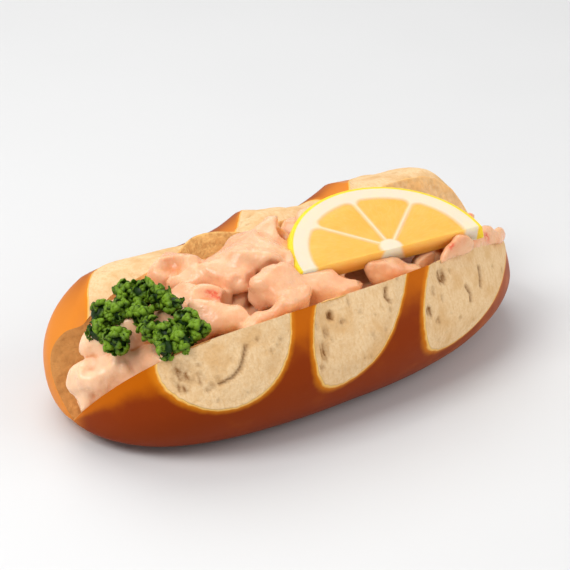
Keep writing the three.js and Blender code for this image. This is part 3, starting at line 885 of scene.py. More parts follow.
def lemon_material(look):
    """Yellow rind, white pith and translucent flesh of long juice cells"""
    material, shade = new_material("Lemon")
    pulp_edge = shade.attribute("pulp_edge")
    rim = shade.attribute("rim")
    polar = shade.attribute("polar", "Vector")
    cell = shade.cells(1.0, polar, "DISTANCE_TO_EDGE")
    wall = shade.ramp(cell, 0.10, 0.0, 0.0, 0.06)
    depth = shade.noise(6.0, 2.0)
    deep = shade.ramp(depth, 0.35, 0.7, 0.0, 0.55)
    flesh = shade.mix(deep, look.pulp, look.pulp_deep)
    fibrous = shade.mix(wall, flesh, look.membrane)
    pulp = shade.ramp(pulp_edge, -0.7, 1.1)
    inner = shade.mix(pulp, look.pith, fibrous)
    width = look.rind_width / MM
    rind = shade.ramp(rim, width + 0.25, width - 0.25)
    pores = shade.ramp(shade.cells(1 / RIND_PORE), 0.35, 0.1)
    juicy = shade.math("MULTIPLY", cell, pulp)
    height = shade.math("SUBTRACT", juicy, shade.math("MULTIPLY", pores, rind))
    shade.principled(
        Base_Color=shade.mix(rind, inner, look.rind),
        Roughness=shade.ramp(pulp, 0.0, 1.0, 0.45, 0.25),
        Specular_IOR_Level=0.05,
        Subsurface_Weight=0.6,
        Subsurface_Radius=(1.0, 0.7, 0.25),
        Subsurface_Scale=5.0 * MM,
        Normal=shade.bump(height, 0.12),
    )
    return material


def leaf_material(look):
    """Satin leaf, each leaflet a little lighter or darker, painted shade at its rim, painted light on
    top
    """
    material, shade = new_material("Parsley leaf")
    mottle = shade.noise(1.5, 2.0)
    own = shade.math("MULTIPLY", shade.attribute("shade"), 0.7)
    tone = shade.math("ADD", shade.math("MULTIPLY", shade.attribute("tip"), 0.8), own)
    tone = shade.math("ADD", tone, shade.math("MULTIPLY", mottle, 0.3))
    bright = shade.ramp(tone, 0.4, 1.55)
    shade.principled(
        Base_Color=shade.mix(bright, look.leaf_dark, look.leaf),
        Roughness=shade.ramp(mottle, 0.3, 0.7, 0.38, 0.55),
        Specular_IOR_Level=0.2,
        Subsurface_Weight=0.1,
        Subsurface_Radius=(0.5, 1.0, 0.15),
        Subsurface_Scale=1.0 * MM,
        Normal=shade.bump(mottle, 0.08),
    )
    return material


def floor_material(look):
    """Plain pale floor"""
    material, shade = new_material("Pale floor")
    soft = shade.ramp(shade.noise(60.0, 2.0), 0.3, 0.7, 0.55, 0.65)
    shade.principled(Base_Color=look.floor, Roughness=soft)
    return material


def fullness(x, y, power):
    """How full the section is at x, from 1 half way along to 0 at the tips"""
    back = smoothstep(y, -FLAP_BLEND, FLAP_BLEND)
    left = lerp(power["front"][0], power["back"][0], back)
    right = lerp(power["front"][1], power["back"][1], back)
    share = np.abs(x / HALF_LENGTH) ** np.where(x < 0, left, right)
    return np.sqrt(np.clip(1 - share, 0, None))


def along_roll(x, y, z):
    """Points of the half-way section, carried to their places at x"""
    tip_y = np.where(x < 0, LEFT_TIP[0], RIGHT_TIP[0])
    tip_z = np.where(x < 0, LEFT_TIP[1], RIGHT_TIP[1])
    back = smoothstep(y, *BOW_BACK) * (1 - smoothstep(z, *BOW_LOW))
    bow = lerp(BOW_MOST, BOW_LEAST, back) * (1 - (x / HALF_LENGTH) ** 2)
    placed_y = tip_y + fullness(x, y, ACROSS_POWER) * (y - tip_y) + bow
    placed_z = tip_z + fullness(x, y, UP_POWER) * (z - tip_z)
    return np.stack(np.broadcast_arrays(x, placed_y, np.maximum(placed_z, 0)), axis=-1)


def crust_line():
    """The crust's outline as a smooth curve: distance along it, and the points"""
    control = np.array(CRUST_OUTLINE)
    last = len(control) - 1
    place = np.linspace(0, last, SPLINE_STEPS + 1)
    start = np.minimum(place.astype(int), last - 1)
    share = (place - start)[:, None]
    before = control[np.maximum(start - 1, 0)]
    here = control[start]
    there = control[start + 1]
    after = control[np.minimum(start + 2, last)]
    leave = (there - before) / 2
    arrive = (after - here) / 2
    cubic = (2 * here - 2 * there + leave + arrive) * share**3
    square = (3 * there - 3 * here - 2 * leave - arrive) * share**2
    points = cubic + square + leave * share + here
    steps = np.linalg.norm(np.diff(points, axis=0), axis=1)
    return np.concatenate(([0], np.cumsum(steps))), points


def even_steps(start, end, step):
    """Places from start up to, but not at, end, about a step apart"""
    return np.linspace(start, end, max(2, round((end - start) / step)), endpoint=False)


def roll_stations():
    """Places along the roll, closer together where the ends turn in"""
    middle = even_steps(-END_START, END_START, STATION_STEP)
    turn = np.linspace(0, math.pi / 2, END_STATIONS, endpoint=False)
    right = END_START + (HALF_LENGTH - END_START) * np.sin(turn)
    return np.concatenate((-right[:0:-1], middle, right))


def window_fields(x, reach, windows):
    """Signed distance to the nearest score's rim, inside positive, and the place across that score"""
    edge = np.full(np.broadcast(x, reach).shape, -FAR_AWAY)
    across = np.zeros_like(edge)
    for middle, half, depth, slant in windows:
        side = (x - middle - slant * reach) / half
        inside = 1 - np.hypot(side, reach / depth)
        distance = inside * (half + depth) / 2
        across = np.where(distance > edge, side * np.clip(inside / WINDOW_EASE, 0, 1), across)
        edge = np.maximum(edge, distance)
    return edge, across


def crest_relief(x, reach):
    """How far the back half's crest rises or sinks, a given distance past its cut edge"""
    places, heights = np.array(CREST_WAVE).T
    rise = smoothstep(reach, CREST_START, CREST_FULL)
    fall = smoothstep(reach, CREST_FULL, CREST_END)
    return np.interp(x, places, heights) * (rise - fall)


def scattered_pits(windows, count, random):
    """Small pits in each score, more of them towards its sunk left side"""
    pits = []
    across, down = PIT_SPREAD
    for middle, half, depth, slant in windows:
        for _ in range(count):
            side = across * (2 * random.random() ** 1.4 - 1)
            reach = down * depth * random.random() * math.sqrt(1 - side * side)
            radius = lerp(*PIT_RADII, random.random() ** 2.5)
            stretch = lerp(*PIT_STRETCH, random.random())
            place = middle + slant * reach + side * half
            pits.append((place, reach, radius, stretch, PIT_DEPTH * radius))
    return pits


def pit_depth(x, reach, pits):
    """How deep the pits are at each point"""
    depth = np.zeros(np.broadcast(x, reach).shape)
    for place, down, radius, stretch, deep in pits:
        share = ((x - place) / radius) ** 2 + ((reach - down) / (radius * stretch)) ** 2
        depth = np.maximum(depth, deep * np.clip(1 - share, 0, 1) ** 1.5)
    return depth


def slit_depth(x, reach, slits):
    """How deep the torn slits are at each point"""
    nearest = np.full(np.broadcast(x, reach).shape, FAR_AWAY)
    for line in slits:
        for (start_x, start_reach), (end_x, end_reach) in zip(line, line[1:]):
            run_x = end_x - start_x
            run_reach = end_reach - start_reach
            share = (x - start_x) * run_x + (reach - start_reach) * run_reach
            share = np.clip(share / (run_x**2 + run_reach**2), 0, 1)
            gap = np.hypot(x - start_x - share * run_x, reach - start_reach - share * run_reach)
            nearest = np.minimum(nearest, gap)
    return SLIT_DEPTH * np.exp(-((nearest / SLIT_WIDTH) ** 2))


def trimmed(reach, total, x):
    """Reach along the crust, drawn back where the cut takes more of it"""
    trim = LEFT_TRIM * smoothstep(-x, LEFT_TRIM_START, HALF_LENGTH)
    trim = trim + BAND_TRIM * np.exp(-(((x - BAND_MIDDLE) / BAND_WIDTH) ** 2))
    past = np.clip(reach - (total - FINE_REACH), 0, None)
    return reach - past * trim / FINE_REACH


def crust_steps(total):
    """Places along the crust's outline, close together near the cut edges"""
    spans = (
        even_steps(0, FINE_REACH, FINE_STEP),
        even_steps(FINE_REACH, total - FINE_REACH, COARSE_STEP),
        even_steps(total - FINE_REACH, total, FINE_STEP),
        [total],
    )
    return np.concatenate(spans)


def strand_noise(x, reach, strand, offset):
    """Noise in strands that run down the crust, of a given width and length"""
    width, run = strand
    places = np.stack(np.broadcast_arrays(x / width, reach / run, 0.0), axis=-1)
    return noise_at(places, 1.0, offset)


def crumb_hollows(look, x, reach, back_reach, edge):
    """How deep the tears are at each point, and the small pits and slits"""
    random = np.random.default_rng(look.seed)
    pits = pit_depth(x, reach, scattered_pits(FRONT_WINDOWS, look.pits, random))
    pits += pit_depth(x, back_reach, scattered_pits(BACK_WINDOWS, look.pits, random))
    pits += slit_depth(x, reach, WINDOW_SLITS)
    inside = smoothstep(edge, *HOLLOW_SPAN)
    return pit_depth(x, reach, WINDOW_TEARS) * inside, pits * inside


def crust_fields(points, x, reach, back_reach):
    """How far the crust grows darker at each point, and how much paler it is painted, partly as painted
    light
    """
    bake = smoothstep(np.minimum(reach, back_reach), *DARKEN_SPAN)
    bake = bake * (1 - DARKEN_RIGHT_SHARE * smoothstep(x, *DARKEN_RIGHT))
    end = smoothstep(-points[..., 0], *PALE_END_X) * smoothstep(points[..., 1], *PALE_END_Y)
    # A painted highlight near the back cut edge, where the crust lies in shade
    crest = CREST_HIGHLIGHT_SHARE * (1 - smoothstep(back_reach, *CREST_HIGHLIGHT))
    return {"bake": bake, "pale_end": np.maximum(end, crest)}


def crust_surface(look, x):
    """The crust as a grid of points with its score, darkening and painted shade values, and its back
    edge
    """
    distance, line = crust_line()
    total = distance[-1]
    reach = trimmed(crust_steps(total)[None, :], total, x)
    back_reach = total - reach
    y, z = (np.interp(reach, distance, places) for places in line.T)
    slope = np.gradient(line, distance, axis=0)
    run_y, run_z = (np.interp(reach, distance, slopes) for slopes in slope.T)
    plain = along_roll(x, y, z)

    front_edge, across = window_fields(x, reach, FRONT_WINDOWS)
    back_edge, _ = window_fields(x, back_reach, BACK_WINDOWS)
    edge = np.maximum(front_edge, back_edge)
    torn = smoothstep(edge, *TORN_SPAN)
    tears, pits = crumb_hollows(look, x, reach, back_reach, edge)
    ragged = 0.6 * noise_at(plain, CRUMB_LUMP) + 0.4 * strand_noise(x, reach, CRUMB_STRAND, 3.0)
    coarse, fine = TEAR_LUMPS
    craggy = np.abs(noise_at(plain, coarse, 11.0)) + 0.6 * np.abs(noise_at(plain, fine, 13.0))
    relief = look.window_step / MM * across + crest_relief(x, back_reach)
    relief += look.crumb_relief / MM * ragged * torn - pits - tears * (0.6 + 1.2 * craggy)
    relief += LIP_HEIGHT * np.exp(-((edge / LIP_WIDTH) ** 2)) - CRUMB_SINK * torn
    relief += CRUST_UNEVEN * noise_at(plain, CRUST_LUMP, 9.0) * (1 - torn)
    points = along_roll(x, y + run_z * relief, z - run_y * relief)

    # Painted shade in the pits, slits and torn hollows, streaked along the tears
    streak = smoothstep(strand_noise(x, reach, TEAR_STRAND, 17.0), -0.1, 0.5)
    pore = np.clip(pits / 1.3 + 1.3 * tears * (0.1 + streak + 0.5 * craggy), 0, 1)
    fields = {"crumb_edge": edge, "pore": pore, **crust_fields(points, x, reach, back_reach)}
    return points, fields, (y[:, -1:], z[:, -1:])


def cut_surface(start, end, x):
    """One cut face as a grid of points from start to end, each as y, z at every x, and its painted shade
    """
    longest = float(np.max(np.hypot(end[0] - start[0], end[1] - start[1])))
    share = even_steps(0, 1, CUT_STEP / longest)
    y = lerp(start[0], end[0], share)
    z = lerp(start[1], end[1], share)
    run_y = (end[0] - start[0]) / longest
    run_z = (end[1] - start[1]) / longest
    plain = along_roll(x, y, z)
    fine, coarse = SPONGE_LUMPS
    sponge = 0.6 * noise_at(plain, fine, 5.0) + 0.3 * noise_at(plain, coarse, 7.0)
    fade = smoothstep(share * longest, *SPONGE_FADE) * np.ones_like(x)
    relief = SPONGE_DEPTH * sponge * fade
    points = along_roll(x, y + run_z * relief, z - run_y * relief)
    # Painted shade, even over the face and deeper where the sponge sinks
    even, deep = SPONGE_SHADE
    return points, np.clip((even - deep * sponge) * fade, 0, 1)


class SANDWICH_OT_roll(bpy.types.Operator):
    """Make the pretzel roll with its crust, scores and cut faces"""

    bl_idname = "sandwich.roll"
    bl_label = "Pretzel Roll"

    def execute(self, context):
        look = context.scene.roll_look
        x = roll_stations()[:, None]
        crust, fields, back_edge = crust_surface(look, x)
        back, back_hollow_shade = cut_surface(back_edge, SPLIT_ROOT, x)
        front, front_hollow_shade = cut_surface(SPLIT_ROOT, CRUST_OUTLINE[0], x)
        grid = np.concatenate((crust, back[:, 1:], front), axis=1)
        stations, sides = grid.shape[:2]
        crust_rows = crust.shape[1]
        tips = along_roll(np.array([-HALF_LENGTH, HALF_LENGTH]), 0.0, 0.0)
        points = np.concatenate((grid.reshape(-1, 3), tips))
        mesh = mesh_of("pretzel_roll", points, loft_faces(stations, sides))

        cut_hollow_shade = np.concatenate((back_hollow_shade[:, 1:], front_hollow_shade), axis=1)
        fields["pore"] = np.concatenate((fields["pore"], cut_hollow_shade), axis=1)
        for name, values in fields.items():
            padded = np.zeros((stations, sides))
            padded[:, : values.shape[1]] = values
            add_attribute(mesh, name, np.concatenate((padded.ravel(), (0, 0))))
        along = points[:, 0]
        # Painted shade on the cut faces towards the left end, and painted light towards the right
        add_attribute(mesh, "toast", CUT_SHADE_SHARE * smoothstep(-along, *CUT_SHADE_SPAN))
        add_attribute(mesh, "pale_cut", CUT_LIGHT_SHARE * smoothstep(along, *CUT_LIGHT_SPAN))
        show(mesh, (crust_material(look), cut_material(look)), "roll")
        self.sort_faces(mesh, stations, sides, crust_rows, crust_rows + back.shape[1] - 1)
        return {"FINISHED"}

    def sort_faces(self, mesh, stations, sides, crust_rows, root_row):
        """Cut faces take the second material, and the cut's edges and root stay sharp"""
        rows = np.arange(sides)
        cut = (rows >= crust_rows - 1).astype(np.int32)
        faces = np.concatenate((np.tile(cut, stations - 1), np.zeros(2 * sides, np.int32)))
        mesh.polygons.foreach_set("material_index", faces)
        ends = np.empty(2 * len(mesh.edges), np.int32)
        mesh.edges.foreach_get("vertices", ends)
        first, second = ends.reshape(-1, 2).T
        along = (first % sides == second % sides) & (np.maximum(first, second) < stations * sides)
        sharp = along & np.isin(first % sides, (0, crust_rows - 1, root_row))
        attribute = mesh.attributes.new("sharp_edge", "BOOLEAN", "EDGE")
        attribute.data.foreach_set("value", sharp)


def seeded_random(seed):
    """Random numbers from 0 to 1 that are the same on every run"""
    state = seed
    while True:
        state = (state * RANDOM_FACTOR + RANDOM_STEP) % RANDOM_RANGE
        yield state / RANDOM_RANGE


def mound_rise(x, y):
    """How far the heap rises under the lemon"""
    away = np.hypot((x - MOUND["x"]) / MOUND["length"], (y - MOUND["y"]) / MOUND["width"])
    return MOUND["height"] * np.exp(-(away**2))


def fill_shrimps():
    """Shrimps in rows over the heap, each a little off its place, but none near one that shows"""
    random = seeded_random(FILL_SEED)
    shown = np.array([point[:3] for path in SHRIMPS for point in path])
    fill = []
    for row, height in FILL_ROWS:
        for x in np.arange(FILL_START, FILL_END, FILL_PITCH):
            level = height - FILL_DROP * smoothstep(x, *FILL_DROP_SPAN)
            x += FILL_JITTER * (next(random) - 0.5)
            y = row + FILL_JITTER * (next(random) - 0.5)
            middle = along_roll(x, y, level)
            middle[2] += mound_rise(middle[0], middle[1])
            turn = math.tau * next(random)
            lean = FILL_LEAN * (next(random) - 0.5)
            radius = lerp(*FILL_RADII, next(random))
            reach = FILL_LENGTH / 2
            half = np.array((reach * math.cos(turn), reach * math.sin(turn), lean))
            if np.min(np.linalg.norm(shown - middle, axis=1)) >= FILL_CLEARANCE:
                fill.append(((*(middle - half), radius), (*(middle + half), radius)))
    return fill


class SauceField:
    """Distance to the salad's surface on a grid of cells, inside negative, with every joint blended"""

    def __init__(self, low, high, step):
        self.low = np.array(low)
        self.step = step
        self.axes = [np.arange(start, end, step) for start, end in zip(low, high)]
        self.weight = np.zeros([len(axis) for axis in self.axes])
        random = np.random.default_rng(FILL_SEED)
        warps = [sum(far * self.waves(size, random) for far, size in WARP) for _ in self.axes]
        self.warp = np.stack(warps, axis=-1)

    def waves(self, size, random):
        """Smooth noise of about -1 to 1 in every cell, with lumps of about the given size"""
        spreads = []
        for axis in self.axes:
            place = (axis - axis[0]) / size + 1
            away = np.abs(place[:, None] - np.arange(math.ceil(place[-1]) + 2))
            spreads.append((np.clip(2 - away, 0, None) ** 3 - 4 * np.clip(1 - away, 0, None) ** 3) / 2)
        lattice = random.normal(size=[spread.shape[1] for spread in spreads])
        for spread in spreads:
            lattice = np.tensordot(lattice, spread, axes=(0, 1))
        return lattice / WAVE_SPREAD

    def cells(self):
        """The cells' places along each axis"""
        return np.meshgrid(*self.axes, indexing="ij", sparse=True)

    def add_path(self, path, axes):
        """A chain of rounded blocks along a path, with flat sides across the axes"""
        points = np.array(path)
        reach = points[:, 3:] + BLEND_REACH * BLEND
        low = (points[:, :3] - reach).min(axis=0)
        high = (points[:, :3] + reach).max(axis=0)
        box = [slice(*np.searchsorted(axis, ends)) for axis, ends in zip(self.axes, zip(low, high))]
        cells = np.meshgrid(*(axis[part] for axis, part in zip(self.axes, box)), indexing="ij")
        cells = (np.stack(cells, axis=-1) + self.warp[tuple(box)]) @ axes
        nearest = np.full(cells.shape[:-1], np.inf)
        for start, end in zip(points, points[1:]):
            count = math.ceil(np.linalg.norm(end[:3] - start[:3]) / PATH_STEP)
            for block in np.linspace(start, end, count + 1):
                away = np.abs(cells - block[:3] @ axes) ** SQUARENESS
                nearest = np.minimum(nearest, away.sum(axis=-1) ** (1 / SQUARENESS) - block[3])
        self.weight[tuple(box)] += np.exp(-nearest / BLEND)

    def distance(self):
        """The blended distance in every cell"""
        return -BLEND * np.log(self.weight + LEAST_WEIGHT)


def split_sides(x):
    """At each x, how to measure outwards from the split's two faces, and their upper edges"""
    root = along_roll(x, *SPLIT_ROOT)
    front = along_roll(x, *CRUST_OUTLINE[0])
    back = along_roll(x, *CRUST_OUTLINE[-1])
    sides = []
    for edge, turn in ((front, -1), (back, 1)):
        run = edge[..., 1:] - root[..., 1:]
        run = run / np.linalg.norm(run, axis=-1, keepdims=True)
        outward = turn * np.stack((run[..., 1], -run[..., 0]), axis=-1)
        sides.append((root, outward, edge))
    return sides


def salad_distance(look):
    """The core in the split and the shrimps on it, dimpled, clear of the bread and the lemon"""
    low, high = (np.array(corner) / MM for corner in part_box("shrimp_salad"))
    field = SauceField(low - SALAD_BELOW, high + SALAD_ABOVE, look.grain / MM)
    x, y, z = field.cells()
    inner = np.clip(x, -CORE_REACH, CORE_REACH)
    sides = split_sides(inner)
    (root, _, front), (_, _, back) = sides
    out = [(y - root[..., 1]) * way[..., 0] + (z - root[..., 2]) * way[..., 1] for _, way, _ in sides]
    share = np.clip((y - front[..., 1]) / (back[..., 1] - front[..., 1]), 0, 1)
    rim = lerp(front[..., 2], back[..., 2], share)
    filled = lerp(CORE_LEFT_SHARE, CORE_SHARE, smoothstep(x, *CORE_LEFT))
    level = lerp(root[..., 2], rim, filled) + mound_rise(x, y)
    core = np.maximum(np.maximum(*out), np.maximum(z - level, np.abs(x) - CORE_REACH)) - CORE_SWELL
    field.weight += np.exp(-np.clip(core, -CORE_LIMIT, CORE_LIMIT) / BLEND)
    random = np.random.default_rng(FILL_SEED)
    for path in (*SHRIMPS, *fill_shrimps()):
        field.add_path(path, np.linalg.qr(random.normal(size=(3, 3)))[0])
    distance = field.distance()
    for *place, radius in DIMPLES:
        away = np.sqrt(sum((cell - middle) ** 2 for cell, middle in zip((x, y, z), place)))
        distance = BLEND * np.logaddexp(distance / BLEND, (radius - away) / BLEND)
    footprint, above, _ = lemon_distances(x, y, z)
    distance = np.maximum(distance, -np.maximum(footprint, above) - LEMON_SEAT)
    for beyond, (_, _, edge) in zip(out, sides):
        bread = np.minimum(beyond - CRUMB_PRESS, edge[..., 2] - CRUMB_EDGE - z)
        distance = np.maximum(distance, bread)
    return field, distance


def salad_mesh(look):
    """The surface of the salad's field"""
    field, distance = salad_distance(look)
    grid = openvdb.FloatGrid()
    grid.copyFromArray(distance)
    points, quads = grid.convertToQuads()
    return mesh_of("shrimp_heap", points * field.step + field.low, quads.tolist())


def lemon_matrix():
    """Where the slice's own frame lies: its upper face is z = 0 and its straight edge runs along X"""
    tilt, roll, yaw = (math.radians(angle) for angle in LEMON_TURN)
    level = Matrix.Rotation(yaw, 4, "Z") @ Matrix.Rotation(-roll, 4, "Y")
    return np.array(Matrix.Translation(LEMON_MIDDLE) @ (level @ Matrix.Rotation(tilt, 4, "X")))


def lemon_distances(x, y, z):
    """From places in millimetres, inside negative: to the slice's half disc, seen from above, to
    all that lies above its underside, and to the layer between its faces"""
    matrix = lemon_matrix()
    offsets = [place - middle for place, middle in zip((x, y, z), matrix[:3, 3])]
    along, out, up = (
        sum(offset * matrix[i, axis] for i, offset in enumerate(offsets)) for axis in range(3)
    )
    layer = np.abs(up + LEMON_THICKNESS / 2) - LEMON_THICKNESS / 2
    return np.maximum(np.hypot(along, out) - LEMON_RADIUS, -out), -LEMON_THICKNESS - up, layer


def sauce_ripple(points):
    """How uneven the sauce is: long waves, folds and fine waves"""
    kinds = (SAUCE_WAVES, SAUCE_FOLDS, SAUCE_FINE)
    waves, folds, fine = (height * noise_at(points, size, offset) for height, size, offset in kinds)
    return waves + np.abs(folds) + fine


def red_skin(points):
    """Where bare red skin shows, from 0 to 1"""
    red = np.zeros(len(points))
    for *place, radius in RED_MARKS:
        away = np.linalg.norm(points - np.array(place), axis=1)
        red = np.maximum(red, 1 - smoothstep(away, RED_FULL * radius, radius))
    return red


class SANDWICH_OT_salad(bpy.types.Operator):
    """Fuse the shrimps into a heap covered in sauce"""

    bl_idname = "sandwich.salad"
    bl_label = "Shrimp Salad"

    def execute(self, context):
        look = context.scene.salad_look
        mesh, blurred = self.softened(context, look)
        points = points_of(mesh)
        normals = np.empty(3 * len(points), np.float32)
        mesh.vertices.foreach_get("normal", normals)
        normals = normals.reshape(-1, 3)
        hollow = np.einsum("ij,ij->i", points_of(blurred) - points, normals)
        bpy.data.meshes.remove(blurred)
        footprint, _, layer = lemon_distances(*points.T)
        free = smoothstep(np.maximum(footprint, layer), *LEMON_CALM)
        move_points(mesh, points + normals * (sauce_ripple(points) * free)[:, None])
        # Painted shade in the creases, by how deep they are
        add_attribute(mesh, "crevice", smoothstep(hollow, *CREASE_SHADE_DEPTHS))
        # Painted light on the lumps at the left end
        add_attribute(mesh, "thick", LEFT_LIGHT_SHARE * smoothstep(-points[:, 0], *LEFT_LIGHT_SPAN))
        add_attribute(mesh, "red", red_skin(points))
        show(mesh, (sauce_material(look),), "shrimp_salad")
        return {"FINISHED"}

    def softened(self, context, look):
        """The heap's mesh, smoothed, and a copy smoothed much further"""
        heap = bpy.data.objects.new("shrimp_heap", salad_mesh(look))
        context.scene.collection.objects.link(heap)
        soften = heap.modifiers.new("Soften", "SMOOTH")
        soften.factor = 0.5
        soften.iterations = look.softening
        mesh = evaluated_mesh(heap, "shrimp_salad_in_sauce")
        soften.iterations = BLUR_PASSES
        blurred = evaluated_mesh(heap, "blurred_heap")
        bpy.data.objects.remove(heap)
        return mesh, blurred


def core_angle(x, y):
    """The turn round the slice's core, in degrees"""
    return np.degrees(np.arctan2(y - LEMON_CORE[1], x - LEMON_CORE[0]))


def segment_edge(x, y, look):
    """Signed distance to the nearest segment of flesh, inside positive"""
    angle = core_angle(x, y)
    angle = np.where(angle < -90, angle + 360, angle)
    walls = np.array(LEMON_MEMBRANES)
    index = np.clip(np.searchsorted(walls, angle) - 1, 0, len(walls) - 2)
    apart = np.minimum(angle - walls[index], walls[index + 1] - angle)
    from_core = np.hypot(x - LEMON_CORE[0], y - LEMON_CORE[1])
    side = from_core * np.sin(np.radians(np.clip(apart, 0, 90))) - look.membrane_width / MM / 2
    outer = look.pulp_radius / MM - np.hypot(x, y)
    nearest = np.minimum(side, outer)
    corner = np.hypot(np.minimum(side - PULP_CORNER, 0), np.minimum(outer - PULP_CORNER, 0))
    cut_off = np.maximum(corner - np.maximum(PULP_CORNER - nearest, 0), 0)
    return np.minimum(np.minimum(nearest, PULP_CORNER) - cut_off, from_core - LEMON_CORE_RADIUS)


def straight_cut_edge(x, z, look):
    """The same on the straight cut: flesh beside the white core, out to the pith"""
    half, narrowing = LEMON_CUT_CORE
    inner = np.abs(x - LEMON_CORE[0]) - half + narrowing * z
    return np.minimum(look.pulp_radius / MM - np.abs(x), inner)


def lemon_face(look, angle, top):
    """The slice's upper or lower face as a grid of points, its flesh dipped and swollen"""
    outermost = LEMON_RADIUS - LEMON_BEVEL + (0 if top else LEMON_TAPER)
    radius = np.linspace(0, outermost, LEMON_RINGS + 1)[1:, None]
    x = radius * np.cos(angle)
    y = radius * np.sin(angle)
    edge = segment_edge(x, y, look)
    (dip, dip_span), (rise, rise_span) = PULP_DIP, PULP_SWELL
    swell = rise * smoothstep(edge, *rise_span) - dip * smoothstep(edge, *dip_span)
    swell = swell * smoothstep(y, *STRAIGHT_FADE)
    return np.stack((x, y, swell if top else -LEMON_THICKNESS - swell), axis=-1)


def lemon_rind(angle):
    """The rind as a grid of points: bevel, wall and bevel, wider towards the underside"""
    turn = np.linspace(0, math.pi / 2, BEVEL_STEPS)
    out = LEMON_BEVEL * (np.sin(turn) - 1)
    up = LEMON_BEVEL * (np.cos(turn) - 1)
    wall = np.linspace(-LEMON_BEVEL, LEMON_BEVEL - LEMON_THICKNESS, LEMON_LAYERS + 1)[1:-1]
    radius = LEMON_RADIUS + np.concatenate((out, np.zeros_like(wall), out[::-1]))
    level = np.concatenate((up, wall, -LEMON_THICKNESS - up[::-1]))
    radius = (radius - LEMON_TAPER * level / LEMON_THICKNESS)[:, None]
    places = (radius * np.cos(angle), radius * np.sin(angle), level[:, None])
    return np.stack(np.broadcast_arrays(*places), axis=-1)


class SANDWICH_OT_lemon(bpy.types.Operator):
    """Make the half slice of lemon with its segments, pith and rind"""

    bl_idname = "sandwich.lemon"
    bl_label = "Lemon Slice"

    def execute(self, context):
        look = context.scene.lemon_look
        angle = np.linspace(0, math.pi, LEMON_STEPS + 1)
        faces = (lemon_face(look, angle, True), lemon_face(look, angle, False))
        mesh = self.slice_mesh(faces, lemon_rind(angle))
        local = points_of(mesh)
        self.mark_flesh(mesh, local, look)
        matrix = lemon_matrix()
        move_points(mesh, local @ matrix[:3, :3].T + matrix[:3, 3])
        show(mesh, (lemon_material(look),), "lemon_slice")
        return {"FINISHED"}

    def mark_flesh(self, mesh, local, look):
        """Where the flesh and the rind are, and places that follow the juice cells"""
        x, y, z = local.T
        straight = np.abs(y) < ON_STRAIGHT_CUT
        away = np.hypot(x, y)
        pulp_edge = np.where(straight, straight_cut_edge(x, z, look), segment_edge(x, y, look))
        add_attribute(mesh, "pulp_edge", pulp_edge)
        add_attribute(mesh, "rim", LEMON_RADIUS - np.where(straight, np.abs(x), away))
        across = np.where(straight, z / CELL_DEPTH, core_angle(x, y) / CELL_TURN)
        polar = np.stack((across, away / CELL_LENGTH, 0 * x), axis=-1)
        add_attribute(mesh, "polar", polar, "FLOAT_VECTOR")

    def slice_mesh(self, faces, rind):
        """Both faces, the rind and the straight cut, joined into one closed mesh"""
        slice_parts = bmesh.new()
        for grid in (*faces, rind):
            rows = [[slice_parts.verts.new(point) for point in row] for row in grid.tolist()]
            for first, second in zip(rows, rows[1:]):
                for i in range(LEMON_STEPS):
                    slice_parts.faces.new((first[i], first[i + 1], second[i + 1], second[i]))
        for face, level in zip(faces, (0.0, -LEMON_THICKNESS)):
            middle = slice_parts.verts.new((0, 0, level))
            fan = [slice_parts.verts.new(point) for point in face[0].tolist()]
            for i in range(LEMON_STEPS):
                slice_parts.faces.new((middle, fan[i], fan[i + 1]))
        bmesh.ops.remove_doubles(slice_parts, verts=slice_parts.verts, dist=ONE_POINT)
        open_edges = [edge for edge in slice_parts.edges if edge.is_boundary]
        bmesh.ops.triangle_fill(slice_parts, use_beauty=True, edges=open_edges)
        bmesh.ops.recalc_face_normals(slice_parts, faces=slice_parts.faces)
        bmesh.ops.scale(slice_parts, vec=(MM, MM, MM), verts=slice_parts.verts)
        mesh = bpy.data.meshes.new("lemon_half_slice")
        slice_parts.to_mesh(mesh)
        slice_parts.free()
        return mesh


def leaflet_mesh(radius):
    """A small lobed dome, ruffled rim, short stalk; marked for painted light on top, painted shade at
    the rim
    """
    shares = np.array(LEAFLET_RINGS)
    turn = 2 * np.pi * np.arange(LEAFLET_POINTS) / LEAFLET_POINTS
    lobe = (1 + np.cos(LEAFLET_LOBES * turn)) / 2
    rings = []
    for ring, share in enumerate(shares):
        spread = share * (1 - LOBE_CUT * share * (1 - lobe)) + STALK_RADIUS
        dome = (LEAFLET_DOME + LOBE_DOME * lobe) * (1 - share**2)
        height = LEAFLET_RISE + dome + RUFFLE_RISE * share**2 * np.sin(LEAFLET_RUFFLES * turn)
        height = np.full(LEAFLET_POINTS, -STALK_DROP) if ring == 0 else height
        rings.append(np.stack((spread * np.cos(turn), spread * np.sin(turn), height), axis=-1))
    faces = []
    for first in range(0, (len(shares) - 1) * LEAFLET_POINTS, LEAFLET_POINTS):
        second = first + LEAFLET_POINTS
        for i in range(LEAFLET_POINTS):
            j = (i + 1) % LEAFLET_POINTS
            faces.append((first + i, second + i, second + j, first + j))
    mesh = mesh_of("leaflet", np.concatenate(rings) * radius / MM, faces)
    # Painted light, full on the leaflet's top and fading to painted shade at its rim and stalk
    tip = (0.0, *(1 - 0.8 * shares[1:] ** 2))
    add_attribute(mesh, "tip", np.repeat(tip, LEAFLET_POINTS))
    return mesh


